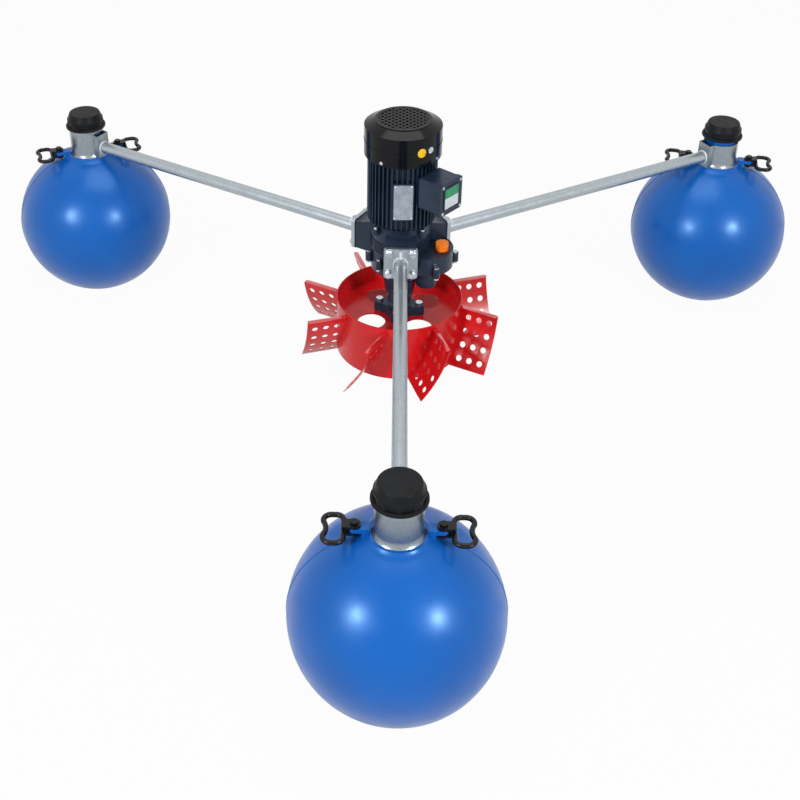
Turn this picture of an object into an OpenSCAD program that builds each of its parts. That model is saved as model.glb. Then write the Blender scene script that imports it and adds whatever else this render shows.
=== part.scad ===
// Floating impeller aerator: a vertical gear motor on three pipe arms, each on a ball float,
// turns a drum with eight curved, perforated blades at the water line. Millimetres, +Z up.
// The origin is on the ground, in the middle of the part's outline.

/* [Layout] */
// Distance from the impeller axis to the neck axis of each float
arm_reach = 1078; // [1000:1:1160]
// Turn of the front float about its neck, in degrees
front_float_turn = 0; // [-15:1:15]
// Turn of the left float about its neck, in degrees
left_float_turn = 19; // [5:1:30]
// Turn of the right float about its neck, in degrees
right_float_turn = -9; // [-12:1:-6]

/* [Floats] */
// Radius of the ball
float_r = 225; // [205:1:250]
// Wall of the blown shell
float_wall = 5; // [3.5:0.5:7]
// Radius of the flat that the float stands on
foot_r = 56; // [45:1:66]
// Outside radius of the neck
neck_r = 44; // [42:0.5:46]
// Radius of the upright that the shoulder fillet runs up to
shoulder_r = 56; // [55:0.5:58]
// Fillet between the ball and that upright
shoulder_fillet = 30; // [26:1:34]
// Height of the flat ledge above the ball's centre
ledge_up = 223; // [221:0.5:226]
// Distance from the neck axis to a handle bolt
lug_reach = 87; // [87:1:94]
// Thickness of the lug that carries a handle
lug_t = 10; // [8:0.5:12]
// Width of the lug, also twice its end radius
lug_w = 24; // [20:1:26]
// Height of the lug's top above the neck ledge
lug_rise = 12; // [11.5:0.5:14]

/* [Float collars] */
// Gap between neck and collar
collar_gap = 2.5; // [1.5:0.5:3]
// Wall of the collar band
collar_wall = 3; // [2:0.5:4]
// Height of the collar
collar_h = 70; // [64:1:80]
// Height of the arm pipe's axis above the collar's bottom
pipe_up = 28; // [25:0.5:34]
// Height of the flared lip
flare_h = 14; // [10:1:18]
// Spread of the flared lip
flare_spread = 5; // [3:0.5:7]
// Distance from the neck axis to the outside of the flat nose
nose_reach = 62; // [60:1:64]
// Width of the nose
nose_w = 46; // [42:1:50]

/* [Float caps] */
// Height of the cap
cap_h = 43; // [39:1:48]
// Neck that shows between collar and cap
cap_lift = 14; // [8:0.5:20]
// Radius of the top face at its edge
cap_top_r = 45; // [44:0.5:46]
// Radius of the grip skirt
cap_skirt_r = 53; // [52:0.5:55]
// Radius of the bottom flange
cap_flange_r = 57.5; // [56:0.5:60]
// Height of the bottom flange
cap_flange_h = 5; // [3:0.5:6]
// Height of the plain upper tier
cap_tier_h = 18; // [14:0.5:20]
// Thickness of the cap's roof
cap_roof = 3.5; // [3:0.5:5]
// Radial gap between cap and neck
cap_gap = 0.4; // [0.3:0.05:0.6]

/* [Handles] */
// Diameter of the handle rod
rod_d = 11; // [9:0.5:12]
// Radius of the four corner bends, on the rod's centre line
bend_r = 16; // [14:0.5:18]
// Half of the straight bar next to the lug
bar_half = 24; // [21:0.5:27]
// Straight length between an inner and an outer corner bend
side_len = 8; // [5:0.5:12]
// Depth of the loop below the middle of its prongs
loop_drop = 4; // [3:0.5:4.5]
// Radius of the hollow finger grip, on the rod's centre line
grip_r = 40; // [34:1:48]
// Thickness of each prong
prong_t = 6; // [5:0.5:6.5]
// Diameter of the handle bolt
handle_bolt_d = 10; // [8:0.5:12]
// Gap between a prong and the lug, and under the bolt head
prong_gap = 0.3; // [0.2:0.05:0.5]
// Radial clearance of a prong on its bolt
pivot_clearance = 0.06; // [0.03:0.01:0.09]

/* [Arms] */
// Outside diameter of the arm pipe
pipe_d = 33.5; // [30:0.5:38]
// Wall of the arm pipe
pipe_wall = 3.25; // [2.5:0.25:4]
// Side of the square plate
plate_w = 86; // [82:1:92]
// Thickness of the plate
plate_t = 10; // [8:0.5:12]
// Depth of the plate bolts in the arm pads
arm_bolt_depth = 7; // [5:0.5:8]
// Corner radius of the plate
plate_corner = 7; // [4:1:10]
// Pitch of the plate bolts
plate_pitch = 60; // [56:1:62]
// Diameter of the plate bolts
plate_bolt_d = 10; // [8:0.5:11]
// Height of a gusset at the plate
gusset_h = 20; // [16:1:22]
// Height of a gusset at its outer end
gusset_tip_h = 10; // [7:1:13]
// Length of a gusset along the pipe
gusset_len = 21; // [18:1:30]
// Thickness of a gusset
gusset_t = 7; // [5:0.5:9]

/* [Gear case] */
// Outside radius of the gear case
case_r = 77; // [76:0.5:80]
// Height of the case above the arm level
case_up = 54; // [52:0.5:58]
// Depth of the case's split below the arm level
split_drop = 41; // [41:0.5:44]
// Distance from the axis to the face of an arm pad
pad_reach = 116; // [114:0.5:122]
// Side of the square arm pad
pad_w = 80; // [76:1:80]
// Radius of the bulge over the countershaft
bulge_r = 68; // [66.5:0.5:70]
// Thickness of the roof over the gears
roof_t = 15; // [15:0.5:18]
// Thickness of the bolt ears between case and motor
motor_ear_t = 9; // [8:0.5:10]
// Thickness of the cover's plate under the bulge
bulge_plate_t = 12; // [10:0.5:14]
// Depth of the countershaft boss below the gear room's floor
boss_drop = 48; // [44:1:52]
// Direction of the countershaft from the axis, in degrees
countershaft_az = -23; // [-26:1:-16]
// Radius of the lower neck at its bottom
neck_end_r = 32.5; // [31:0.5:34]
// Length of the lower neck below the split
neck_len = 141; // [138:0.5:142]
// Radius of the boss under the countershaft
boss_r = 27; // [25:0.5:30]
// Diameter of the case bolts
case_bolt_d = 8; // [6:0.5:9]

/* [Gears] */
// Module of all four gears
gear_m = 2.5; // [2.4:0.02:2.52]
// Pressure angle, in degrees
gear_pa = 25; // [22:0.5:26]
// Teeth of the motor pinion
pinion1_n = 13; // [12:1:14]
// Teeth of the countershaft gear
wheel1_n = 47; // [46:1:47]
// Face width of the first pair
face1 = 16; // [13:0.5:17]
// Face width of the second pair
face2 = 20; // [16:0.5:21]
// Teeth of the countershaft pinion
pinion2_n = 14; // [13:1:14]
// Play between the teeth on the pitch circle
backlash = 0.3; // [0.25:0.05:0.5]

/* [Shafts and bearings] */
// Diameter of the output shaft
out_shaft_d = 30; // [28:0.5:32]
// Diameter of the motor shaft at its bearings
motor_shaft_d = 25; // [23:0.5:25.5]
// Diameter of the countershaft at its bearings
counter_shaft_d = 17; // [15:0.5:18]
// Outside diameter of the upper output bearing
out_bearing_d = 62; // [58:1:64]
// Width of the upper output bearing
out_bearing_w = 16; // [14:0.5:18]
// Outside diameter of the lower output bearing
low_bearing_d = 55; // [52:0.5:56]
// Width of the lower output bearing
low_bearing_w = 13; // [12:0.5:14]
// Outside diameter of a countershaft bearing
counter_bearing_d = 40; // [38:0.5:41]
// Width of a countershaft bearing
counter_bearing_w = 12; // [11:0.5:13]
// Outside diameter of a motor bearing
motor_bearing_d = 52; // [50:0.5:54]
// Width of a motor bearing
motor_bearing_w = 15; // [13:0.5:16]
// Radial clearance of a shaft in its bearing
running_gap = 0.04; // [0.02:0.01:0.08]
// Radial clearance of a pressed seat
seat_gap = 0.02; // [0.01:0.005:0.04]

/* [Motor] */
// Outside radius of the motor shell under its fins
shell_r = 80; // [78:0.5:82]
// Wall of the motor shell
shell_wall = 4.5; // [3.5:0.5:6]
// Outside radius of the fins
fin_r = 89; // [87:0.5:92]
// Thickness of a fin
fin_t = 3; // [2:0.5:4]
// Number of fin places around the shell
fin_n = 44; // [36:2:48]
// Height of the lower end shield
shield_h = 18; // [18:0.5:24]
// Length of the motor shell
shell_len = 187; // [180:1:196]
// Outside radius of the fan cover
cover_r = 98; // [97:0.5:102]
// Sheet thickness of the fan cover
cover_t = 2; // [1.5:0.5:3]
// Height of the fan cover
cover_h = 92; // [90:0.5:100]
// Overlap of the fan cover on the shell
cover_lap = 4; // [2:0.5:6]
// Radius of the cover's flat top
cover_top_r = 71; // [68:0.5:74]
// Height of the slope between the cover's wall and its flat top
cover_slope_h = 15; // [12:0.5:18]
// Radius of the air grille
grille_r = 62; // [58:0.5:64]
// Pitch of the grille bars
grille_pitch = 12.4; // [11.5:0.1:14]
// Width of a grille bar
grille_bar = 5; // [4:0.5:6]
// Radius of the rotor
rotor_r = 50; // [46:0.5:52]
// Air gap between rotor and stator
air_gap = 0.6; // [0.4:0.1:1]
// Length of the rotor and stator cores
core_len = 90; // [80:1:100]

/* [Terminal box and plates] */
// Direction of the terminal box, in degrees
box_az = -40; // [-44:1:-36]
// Width of the terminal box
box_w = 82; // [76:1:88]
// Height of the terminal box
box_h = 86; // [82:1:92]
// Distance from the axis to the mouth of the terminal box
box_reach = 146; // [140:1:152]
// Wall of the terminal box
box_wall = 4; // [3:0.5:5]
// Height of the terminal box's bottom above the shell's bottom
box_lift = 69; // [62:1:74]
// Thickness of the lid
lid_t = 12; // [10:0.5:14]
// Radius of the cable hole in the gland
gland_bore_r = 5.5; // [4.5:0.5:6.5]
// Direction of the blank name plate, in degrees
plate_az = -88; // [-90:1:-86]
// Width of the blank name plate
name_w = 48; // [44:1:54]
// Height of the blank name plate
name_h = 97; // [88:1:102]

/* [Impeller] */
// Outside radius of the drum
drum_r = 169; // [162:1:176]
// Sheet thickness of the drum wall
drum_wall_t = 3; // [2:0.5:4]
// Height of the drum
drum_h = 155; // [145:1:165]
// Depth of the drum's rim below the arm level
rim_drop = 174; // [172:1:182]
// Depth of the floor plate below the rim
floor_drop = 50; // [46:1:56]
// Thickness of the floor plate
floor_t = 4; // [3:0.5:5]
// Radius of the floor plate's drain holes
drain_r = 37; // [32:1:40]
// Distance of the drain holes from the axis
drain_reach = 90; // [88:1:96]
// Height of the hub casting
hub_h = 28; // [24:1:32]
// Distance of the hub bolts from the axis
lobe_reach = 54; // [52:1:57]
// Radius of a hub lobe
lobe_r = 14; // [12.5:0.5:15]
// Radius of the hollow between two lobes
hollow_r = 48; // [42:1:56]
// Turn of the impeller's first blade, in degrees
impeller_turn = -10; // [-20:1:10]
// Diameter of a hub bolt
hub_bolt_d = 12; // [10:0.5:13]

/* [Blades] */
// Number of blades
blade_n = 8; // [8:1:8]
// Width of a blade, from the drum outwards
blade_w = 106; // [98:1:112]
// Bend radius of a blade
blade_bend = 315; // [290:1:340]
// Lean of a blade at its top edge, in degrees
lean_top = 12; // [8:0.5:15]
// Lean of a blade at its bottom edge, in degrees
lean_bottom = 42; // [38:0.5:44]
// Sweep of a blade back from the radial direction, in degrees
blade_sweep = 17; // [13:1:20]
// Thickness of a blade
blade_t = 3; // [2:0.5:4]
// Depth of a blade's top edge below the drum's rim
blade_drop = 12; // [8:1:18]
// Diameter of the holes in a blade
hole_d = 16; // [13:0.5:18]
// Pitch of the hole columns
hole_pitch = 30; // [27:0.5:31]
// Pitch of the hole rows along the bend, in degrees
row_pitch = 6.9; // [6.4:0.1:7.2]
// Size of the cut at a blade's lower outer corner
corner_cut = 26; // [18:1:32]

/* [Hidden] */
$fn = 64;
eps = 0.01;
front_az = -90;
left_az = 150;
right_az = 30;
arm_azimuths = [front_az, left_az, right_az];
// The outline's middle lies a quarter of the reach in front of the axis
axis_y = arm_reach / 4;

// Float heights
float_cz = sqrt(float_r * float_r - foot_r * foot_r);
collar_r = neck_r + collar_gap + collar_wall;
lip_r = collar_r + flare_spread;
ledge_z = float_cz + float_r - 225 + ledge_up;
fillet_r_place = shoulder_r + shoulder_fillet;
fillet_z = float_cz + sqrt(pow(float_r + shoulder_fillet, 2) - pow(fillet_r_place, 2));
shoulder_touch_r = fillet_r_place * float_r / (float_r + shoulder_fillet);
lug_top = ledge_z + lug_rise;
lug_root = lip_r + 2.5;
collar_top = ledge_z + collar_h;
cap_z = collar_top + cap_lift;
neck_top = cap_z + cap_h - cap_roof;
// Height of the level arms, the machine's own datum
machine_z = ledge_z + pipe_up;

// Handle places, measured outwards from the bolt
bar_place = lug_w / 2 + 3.5 + rod_d / 2;
outer_bend = bar_place + bend_r + side_len;
grip_centre = outer_bend + sqrt(pow(bend_r + grip_r, 2) - bar_half * bar_half);
grip_half_angle = asin(bar_half / (bend_r + grip_r));
// The bends are a little thicker than the straight bars, as moulded
bend_d = rod_d + 0.4;
bend_lap = 2;
prong_r = lug_w / 2 + 1;
handle_mid = lug_top - lug_t / 2;
prong_z = lug_t / 2 + prong_gap;
bolt_head_r = handle_bolt_d * 0.8;
bolt_head_h = handle_bolt_d * 0.54;

// Arm places
pipe_from = pad_reach + plate_t;
pipe_to = arm_reach - nose_reach;

// Gear places, above the arm level
wheel2_n = pinion1_n + wheel1_n - pinion2_n;
centre_dist = gear_m * (pinion1_n + wheel1_n) / 2;
split_z = -split_drop;
pair1_z = split_z + 4;
roof_z = pair1_z + face1 + 3;
roof_top = roof_z + roof_t;
pair2_top = split_z - 4;
cavity_floor = pair2_top - face2 - 4;
cavity_r = gear_m * (wheel2_n / 2 + 1) + 4;
bulge_cavity_r = gear_m * (wheel1_n / 2 + 1) + 1.75;
pinion_cavity_r = gear_m * (pinion2_n / 2 + 1) + 2.5;
out_bearing_z = cavity_floor - 40;
low_bearing_z = split_z - neck_len + 33;
neck_bottom = split_z - neck_len;
boss_bottom = cavity_floor - boss_drop;
counter_low_z = boss_bottom + 10;
motor_z = case_up;
shell_z = motor_z + shield_h;
shell_top = shell_z + shell_len;
cover_z = shell_top - cover_lap;
low_motor_bearing_z = motor_z + 3;
top_motor_bearing_z = shell_top - 8;
core_z = shell_z + (shell_len - core_len) / 2 - 8;
fan_z = shell_top + 26;
screw_z = shell_top + 5;
oil_cap_reach = centre_dist + 41;
ear_r = case_bolt_d / 2 + 5.5;
case_head_r = case_bolt_d * 0.85;
case_head_h = case_bolt_d * 0.65;
case_bolt_gap = case_head_r + 0.4;
oil_neck_r = 9;

// Impeller places, above the arm level
rim_z = -rim_drop;
floor_z = rim_z - floor_drop;
hub_top = floor_z + hub_h;
drum_in_r = drum_r - drum_wall_t;
hollow_reach = lobe_reach * cos(45)
    + sqrt(pow(hollow_r + lobe_r, 2) - pow(lobe_reach * sin(45), 2));

// Colours
float_blue = "#1a6fd0";
impeller_red = "#c8191c";
motor_paint = "#20252e";
galvanised = "#aab4b9";
zinc = "#c3c6c8";
cap_black = "#2b2e33";
handle_black = "#1c1c1e";
oil_orange = "#ff8a1e";
gear_steel = "#8c9094";
seal_rubber = "#26262a";
core_steel = "#6f7378";
fan_plastic = "#30343a";

// Frames of reference
module machine() {
    translate([0, axis_y, machine_z]) children();
}

module at_arm(az) {
    translate([0, axis_y, 0]) rotate(az) children();
}

module at_float(az, turn) {
    translate([0, axis_y, 0])
        translate([arm_reach * cos(az), arm_reach * sin(az), 0])
            rotate(turn) children();
}

module at_countershaft() {
    translate([centre_dist * cos(countershaft_az), centre_dist * sin(countershaft_az), 0]) children();
}

// A ring between two radii, from z = 0 upwards
module ring(outer_r, inner_r, h) {
    difference() {
        cylinder(r = outer_r, h = h);
        translate([0, 0, -1]) cylinder(r = inner_r, h = h + 2);
    }
}

module hex_prism(across_r, h) {
    cylinder(r = across_r, h = h, $fn = 6);
}

// A square with round corners, centred
module round_square(w, h, r) {
    square([w - 2 * r, h], center = true);
    square([w, h - 2 * r], center = true);
    for (sx = [-1, 1], sy = [-1, 1])
        translate([sx * (w / 2 - r), sy * (h / 2 - r)]) circle(r);
}

// Involute gear teeth: half of the tooth angle at radius r, in degrees
function involute(a) = tan(a) * 180 / PI - a;
function tooth_half(n, r) =
    let(pitch_r = gear_m * n / 2, base_r = pitch_r * cos(gear_pa))
    90 / n - backlash / 4 / pitch_r * 180 / PI + involute(gear_pa)
        - involute(acos(min(1, base_r / r)));
function tooth_radii(n) =
    let(pitch_r = gear_m * n / 2, base_r = pitch_r * cos(gear_pa), root_r = pitch_r - 1.25 * gear_m)
    [root_r, max(base_r, root_r + 0.4 * gear_m), pitch_r + 0.2 * gear_m, pitch_r + gear_m];

module gear_outline(n) {
    radii = tooth_radii(n);
    polygon([
        for (i = [0 : n - 1], side = [-1, 1], k = [0 : 3])
            let(r = radii[side < 0 ? k : 3 - k], a = 360 * i / n + side * tooth_half(n, r))
            [r * cos(a), r * sin(a)]
    ]);
}

module gear_wheel(n, face, bore_r) {
    web_out = gear_m * n / 2 - 2.6 * gear_m;
    web_in = bore_r + 8;
    difference() {
        linear_extrude(face) gear_outline(n);
        translate([0, 0, -1]) cylinder(r = bore_r, h = face + 2);
        for (z = [-1, face * 0.7])
            translate([0, 0, z]) ring(web_out, web_in, face * 0.3 + 1);
    }
}

// A ball bearing as one ring, with the groove between its races on both faces
module bearing(outer_d, inner_d, w) {
    mid_r = (outer_d + inner_d) / 4;
    groove = (outer_d - inner_d) / 12;
    difference() {
        ring(outer_d / 2 - seat_gap, inner_d / 2 + running_gap, w);
        for (z = [-1, w - 1])
            translate([0, 0, z]) ring(mid_r + groove, mid_r - groove, 2);
    }
}

// Motor
module motor_frame() color(motor_paint) machine() {
    pad_h = name_h + 6;
    difference() {
        union() {
            translate([0, 0, shell_z]) cylinder(r = shell_r, h = shell_len);
            for (i = [0 : fin_n - 1])
                rotate(360 * i / fin_n)
                    translate([shell_r - 1, -fin_t / 2, shell_z + 4])
                        cube([fin_r - shell_r + 1, fin_t, shell_len - 8]);
            // Flat seats of the terminal box and of the name plate
            rotate(box_az)
                translate([0, -box_w / 2 + 6, shell_z + box_lift + 6])
                    cube([fin_r, box_w - 12, box_h - 12]);
            rotate(plate_az)
                translate([0, -name_w / 2 - 3, shell_z + 34])
                    cube([fin_r, name_w + 6, pad_h]);
        }
        translate([0, 0, shell_z - 1]) cylinder(r = shell_r - shell_wall, h = shell_len + 2);
        // Way of the leads into the terminal box
        rotate(box_az)
            translate([0, 0, shell_z + box_lift + box_h / 2])
                rotate([0, 90, 0]) cylinder(d = 26, h = fin_r + 1);
    }
}

module stator_core() color(core_steel) machine() {
    translate([0, 0, core_z])
        ring(shell_r - shell_wall - seat_gap, rotor_r + air_gap, core_len);
}

module upper_end_shield() color(motor_paint) machine() {
    difference() {
        union() {
            translate([0, 0, shell_top - 8]) cylinder(r = shell_r - shell_wall - seat_gap, h = 8);
            translate([0, 0, shell_top]) cylinder(r = fin_r - 3, h = 10);
            translate([0, 0, shell_top + 10 - eps]) cylinder(r1 = 46, r2 = 38, h = 8);
            // Lugs that hold the fan cover
            for (k = [0 : 3])
                rotate(-122 + 90 * k)
                    translate([60, -9, shell_top])
                        cube([cover_r - cover_t - 60.4, 18, 10]);
        }
        translate([0, 0, shell_top - 9]) cylinder(d = motor_bearing_d, h = 1 + motor_bearing_w);
        translate([0, 0, shell_top]) cylinder(r = motor_shaft_d / 2 + 1.5, h = 30);
        for (k = [0 : 3])
            rotate(-122 + 90 * k)
                translate([cover_r - 14, 0, screw_z])
                    rotate([0, 90, 0]) cylinder(d = 5, h = 20);
    }
}

module lower_end_shield() color(motor_paint) machine() {
    difference() {
        union() {
            translate([0, 0, motor_z]) linear_extrude(motor_ear_t) {
                circle(case_r);
                at_flange_ears() circle(ear_r);
            }
            translate([0, 0, motor_z]) rotate_extrude()
                polygon([[0, 2], [case_r - 0.5, 2], [case_r - 0.5, motor_ear_t + case_head_h + 1],
                         [fin_r - 3, shield_h - 1], [fin_r - 3, shield_h], [0, shield_h]]);
        }
        translate([0, 0, low_motor_bearing_z]) cylinder(d = motor_bearing_d, h = shield_h);
        translate([0, 0, motor_z - 1]) cylinder(r = motor_shaft_d / 2 + 1.5, h = shield_h);
        flange_bolt_holes();
    }
}

// Places of the four bolts between motor and gear case
module at_flange_ears() {
    for (k = [0 : 3])
        rotate(-50 + 90 * k) translate([case_r + case_bolt_gap, 0]) children();
}

module at_flange_bolts() {
    translate([0, 0, motor_z]) at_flange_ears() children();
}

module flange_bolt_holes() {
    at_flange_bolts()
        translate([0, 0, -30]) cylinder(d = case_bolt_d + 0.2, h = 31 + motor_ear_t);
}

module grille() {
    reach = ceil(grille_r / grille_pitch);
    intersection() {
        circle(grille_r + 1);
        for (turn = [45, -45])
            rotate(turn)
                for (i = [-reach : reach])
                    translate([0, i * grille_pitch])
                        square([2 * grille_r + 4, grille_bar], center = true);
    }
}

module fan_cover() color(motor_paint) machine() {
    wall_h = cover_h - cover_slope_h;
    translate([0, 0, cover_z]) {
        difference() {
            union() {
                cylinder(r = cover_r, h = wall_h);
                translate([0, 0, wall_h - eps])
                    cylinder(r1 = cover_r, r2 = cover_top_r, h = cover_slope_h - 3 + eps);
                translate([0, 0, cover_h - 3 - eps]) cylinder(r = cover_top_r, h = 3 + eps);
                // Rolled seam around the wall
                translate([0, 0, wall_h / 2 - 1.5]) cylinder(r = cover_r + 0.8, h = 3);
            }
            translate([0, 0, -1]) cylinder(r = cover_r - cover_t, h = wall_h + 1 - cover_t);
            translate([0, 0, wall_h - cover_t - eps])
                cylinder(r1 = cover_r - cover_t, r2 = cover_top_r - cover_t, h = cover_slope_h - 3 + eps);
            translate([0, 0, cover_h - 12]) cylinder(r = grille_r, h = 20);
            for (k = [0 : 3])
                rotate(-122 + 90 * k)
                    translate([cover_r - 14, 0, screw_z - cover_z])
                        rotate([0, 90, 0]) cylinder(d = 5.4, h = 20);
        }
        translate([0, 0, cover_h - 3]) linear_extrude(2.5) grille();
    }
}

module cover_screws() color(zinc) machine() {
    for (k = [0 : 3])
        rotate(-122 + 90 * k)
            translate([cover_r, 0, screw_z])
                rotate([0, 90, 0]) {
                    translate([0, 0, -13]) cylinder(d = 4.9, h = 13 + eps);
                    cylinder(r = 4.6, h = 3);
                }
    // Lid screws of the terminal box
    at_box()
        for (sy = [-1, 1], sz = [-1, 1])
            translate([box_reach + lid_t, sy * (box_w / 2 - 7), sz * (box_h / 2 - 7)])
                rotate([0, 90, 0]) {
                    translate([0, 0, -lid_t - 10]) cylinder(d = 4.4, h = lid_t + 10 + eps);
                    cylinder(r = 4, h = 2.5);
                }
}

module at_box() {
    rotate(box_az) translate([0, 0, shell_z + box_lift + box_h / 2]) children();
}

// A solid with round corners along x, centred on y and z
module x_block(from, to, w, h, r) {
    translate([from, 0, 0])
        rotate([90, 0, 90]) linear_extrude(to - from) round_square(w, h, r);
}

module terminal_box() color(motor_paint) machine() at_box()
    difference() {
        x_block(fin_r, box_reach, box_w, box_h, 6);
        x_block(fin_r + box_wall, box_reach + 1, box_w - 28, box_h - 2 * box_wall, 3);
        x_block(fin_r + box_wall, box_reach + 1, box_w - 2 * box_wall, box_h - 28, 3);
        translate([fin_r - 1, 0, 0]) rotate([0, 90, 0]) cylinder(d = 26, h = box_wall + 2);
        for (sy = [-1, 1], sz = [-1, 1])
            translate([box_reach - 12, sy * (box_w / 2 - 7), sz * (box_h / 2 - 7)])
                rotate([0, 90, 0]) cylinder(d = 4.5, h = 20);
        translate([(fin_r + box_reach) / 2, box_w / 2 + 1, 0])
            rotate([90, 0, 0]) cylinder(r = gland_bore_r + 4.5, h = box_wall + 2);
    }

module terminal_box_lid() color(motor_paint) machine() at_box()
    difference() {
        union() {
            x_block(box_reach, box_reach + lid_t, box_w + 4, box_h + 4, 8);
            x_block(box_reach, box_reach + lid_t + 2, box_w - 24, box_h - 24, 4);
        }
        x_block(box_reach - 1, box_reach + lid_t - 3, box_w - 28, box_h - 28, 3);
        for (sy = [-1, 1], sz = [-1, 1])
            translate([box_reach - 1, sy * (box_w / 2 - 7), sz * (box_h / 2 - 7)])
                rotate([0, 90, 0]) cylinder(d = 4.6, h = lid_t + 2);
    }

module cable_gland() color(handle_black) machine() at_box()
    translate([(fin_r + box_reach) / 2, box_w / 2, 0]) rotate([90, 0, 0])
        difference() {
            union() {
                translate([0, 0, -6]) hex_prism(gland_bore_r + 9, 6);
                translate([0, 0, -22]) cylinder(r1 = gland_bore_r + 4, r2 = gland_bore_r + 6.5, h = 16 + eps);
                cylinder(r = gland_bore_r + 4.4, h = box_wall + 5);
            }
            translate([0, 0, -23]) cylinder(r = gland_bore_r, h = 40);
        }

module name_plate() color(galvanised) machine() rotate(plate_az)
    translate([0, 0, shell_z + 37 + name_h / 2])
        difference() {
            x_block(fin_r, fin_r + 2, name_w, name_h, 3);
            x_block(fin_r + 1.2, fin_r + 3, name_w - 8, name_h - 8, 2);
        }

module motor_bearings() color(gear_steel) machine() {
    for (z = [low_motor_bearing_z, top_motor_bearing_z])
        translate([0, 0, z]) bearing(motor_bearing_d, motor_shaft_d, motor_bearing_w);
}

module motor_shaft() color(gear_steel) machine() {
    rotate(countershaft_az)
        translate([0, 0, pair1_z]) linear_extrude(face1) gear_outline(pinion1_n);
    translate([0, 0, pair1_z + face1 - eps])
        cylinder(d = motor_shaft_d, h = fan_z + 32 - pair1_z - face1);
}

module rotor_core() color(core_steel) machine()
    translate([0, 0, core_z]) ring(rotor_r, motor_shaft_d / 2 + seat_gap, core_len);

module cooling_fan() color(fan_plastic) machine() translate([0, 0, fan_z])
    difference() {
        union() {
            cylinder(r = motor_shaft_d / 2 + 8, h = 28);
            cylinder(r = cover_r - 30, h = 3);
            for (k = [0 : 7])
                rotate(45 * k)
                    translate([motor_shaft_d / 2 + 5, -1.5, 0])
                        cube([cover_r - cover_t - 14 - motor_shaft_d / 2 - 5, 3, 24]);
        }
        translate([0, 0, -1]) cylinder(d = motor_shaft_d + 2 * seat_gap, h = 40);
    }

// Gear case
module at_case_bolts() {
    for (az = [70, 110, 192, 228])
        rotate(az) translate([case_r + case_bolt_gap, 0, split_z]) children();
    for (az = [-72, 12])
        at_countershaft() rotate(az) translate([bulge_r + case_bolt_gap, 0, split_z]) children();
}

// Side view of one arm pad: x outwards, y up
module pad_side() {
    half = pad_w / 2;
    polygon([[40, 20], [case_r - 6, case_up - 4], [pad_reach - 12, half], [pad_reach, half],
             [pad_reach, -half], [40, -half]]);
}

module plate_bolt_places() {
    for (sy = [-1, 1], sz = [-1, 1])
        translate([0, sy * plate_pitch / 2, sz * plate_pitch / 2]) children();
}

module gear_case() color(motor_paint) machine() {
    difference() {
        union() {
            translate([0, 0, split_z]) cylinder(r = case_r, h = case_up - split_z);
            at_flange_bolts() translate([0, 0, -motor_ear_t]) cylinder(r = ear_r, h = motor_ear_t);
            at_countershaft() translate([0, 0, split_z]) cylinder(r = bulge_r, h = roof_top - split_z);
            // Ridges around the case
            for (i = [0 : 4])
                translate([0, 0, roof_top - 9 + 7 * i]) cylinder(r = case_r + 2.5, h = 3);
            for (az = arm_azimuths)
                rotate(az)
                    rotate([90, 0, 0]) translate([0, 0, -pad_w / 2]) linear_extrude(pad_w) pad_side();
            at_case_bolts() cylinder(r = ear_r, h = 12);
        }
        // Gear room, and the room between roof and motor
        translate([0, 0, split_z - 1]) cylinder(r = cavity_r, h = roof_z - split_z + 1);
        at_countershaft() translate([0, 0, split_z - 1]) cylinder(r = bulge_cavity_r, h = roof_z - split_z + 1);
        translate([0, 0, roof_top]) cylinder(r = case_r - 8, h = case_up - roof_top + 1);
        translate([0, 0, roof_z - 1]) cylinder(r = motor_shaft_d / 2 + 9, h = roof_t + 2);
        at_countershaft() translate([0, 0, roof_z - 1]) cylinder(d = counter_bearing_d, h = counter_bearing_w + 1);
        rotate(countershaft_az) translate([oil_cap_reach, 0, roof_z - 1])
            cylinder(r = oil_neck_r, h = roof_t + 2);
        at_case_bolts() translate([0, 0, -1]) cylinder(d = case_bolt_d + 0.2, h = 20);
        flange_bolt_holes();
        for (az = arm_azimuths)
            rotate(az) translate([pad_reach - arm_bolt_depth - 1, 0, 0]) plate_bolt_places()
                rotate([0, 90, 0]) cylinder(d = plate_bolt_d + 0.2, h = 20);
    }
}

module gear_case_cover() color(motor_paint) machine() {
    knee = cavity_floor - 6;
    difference() {
        union() {
            rotate_extrude()
                polygon([[0, split_z], [case_r, split_z], [case_r, knee], [out_bearing_d / 2 + 16, knee - 30],
                         [low_bearing_d / 2 + 11, low_bearing_z], [neck_end_r, neck_bottom + 6],
                         [neck_end_r, neck_bottom], [0, neck_bottom]]);
            at_countershaft() {
                translate([0, 0, split_z - bulge_plate_t]) cylinder(r = bulge_r, h = bulge_plate_t);
                translate([0, 0, boss_bottom]) cylinder(r = boss_r, h = split_z - boss_bottom);
            }
            at_case_bolts() translate([0, 0, -12]) cylinder(r = ear_r, h = 12);
        }
        translate([0, 0, cavity_floor]) cylinder(r = cavity_r, h = 100);
        at_countershaft() {
            translate([0, 0, counter_low_z + counter_bearing_w]) cylinder(r = pinion_cavity_r, h = 100);
            translate([0, 0, counter_low_z]) cylinder(d = counter_bearing_d, h = counter_bearing_w + 1);
        }
        translate([0, 0, out_bearing_z]) cylinder(d = out_bearing_d, h = 100);
        translate([0, 0, neck_bottom - 1]) cylinder(d = out_shaft_d + 4, h = 200);
        translate([0, 0, neck_bottom - 1]) cylinder(d = low_bearing_d, h = low_bearing_z + low_bearing_w - neck_bottom + 1);
        at_case_bolts() translate([0, 0, -13]) cylinder(d = case_bolt_d + 0.2, h = 14);
        rotate(90) translate([case_r - 16, 0, cavity_floor + 10])
            rotate([0, 90, 0]) cylinder(d = 16.2, h = 20);
    }
}

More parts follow.
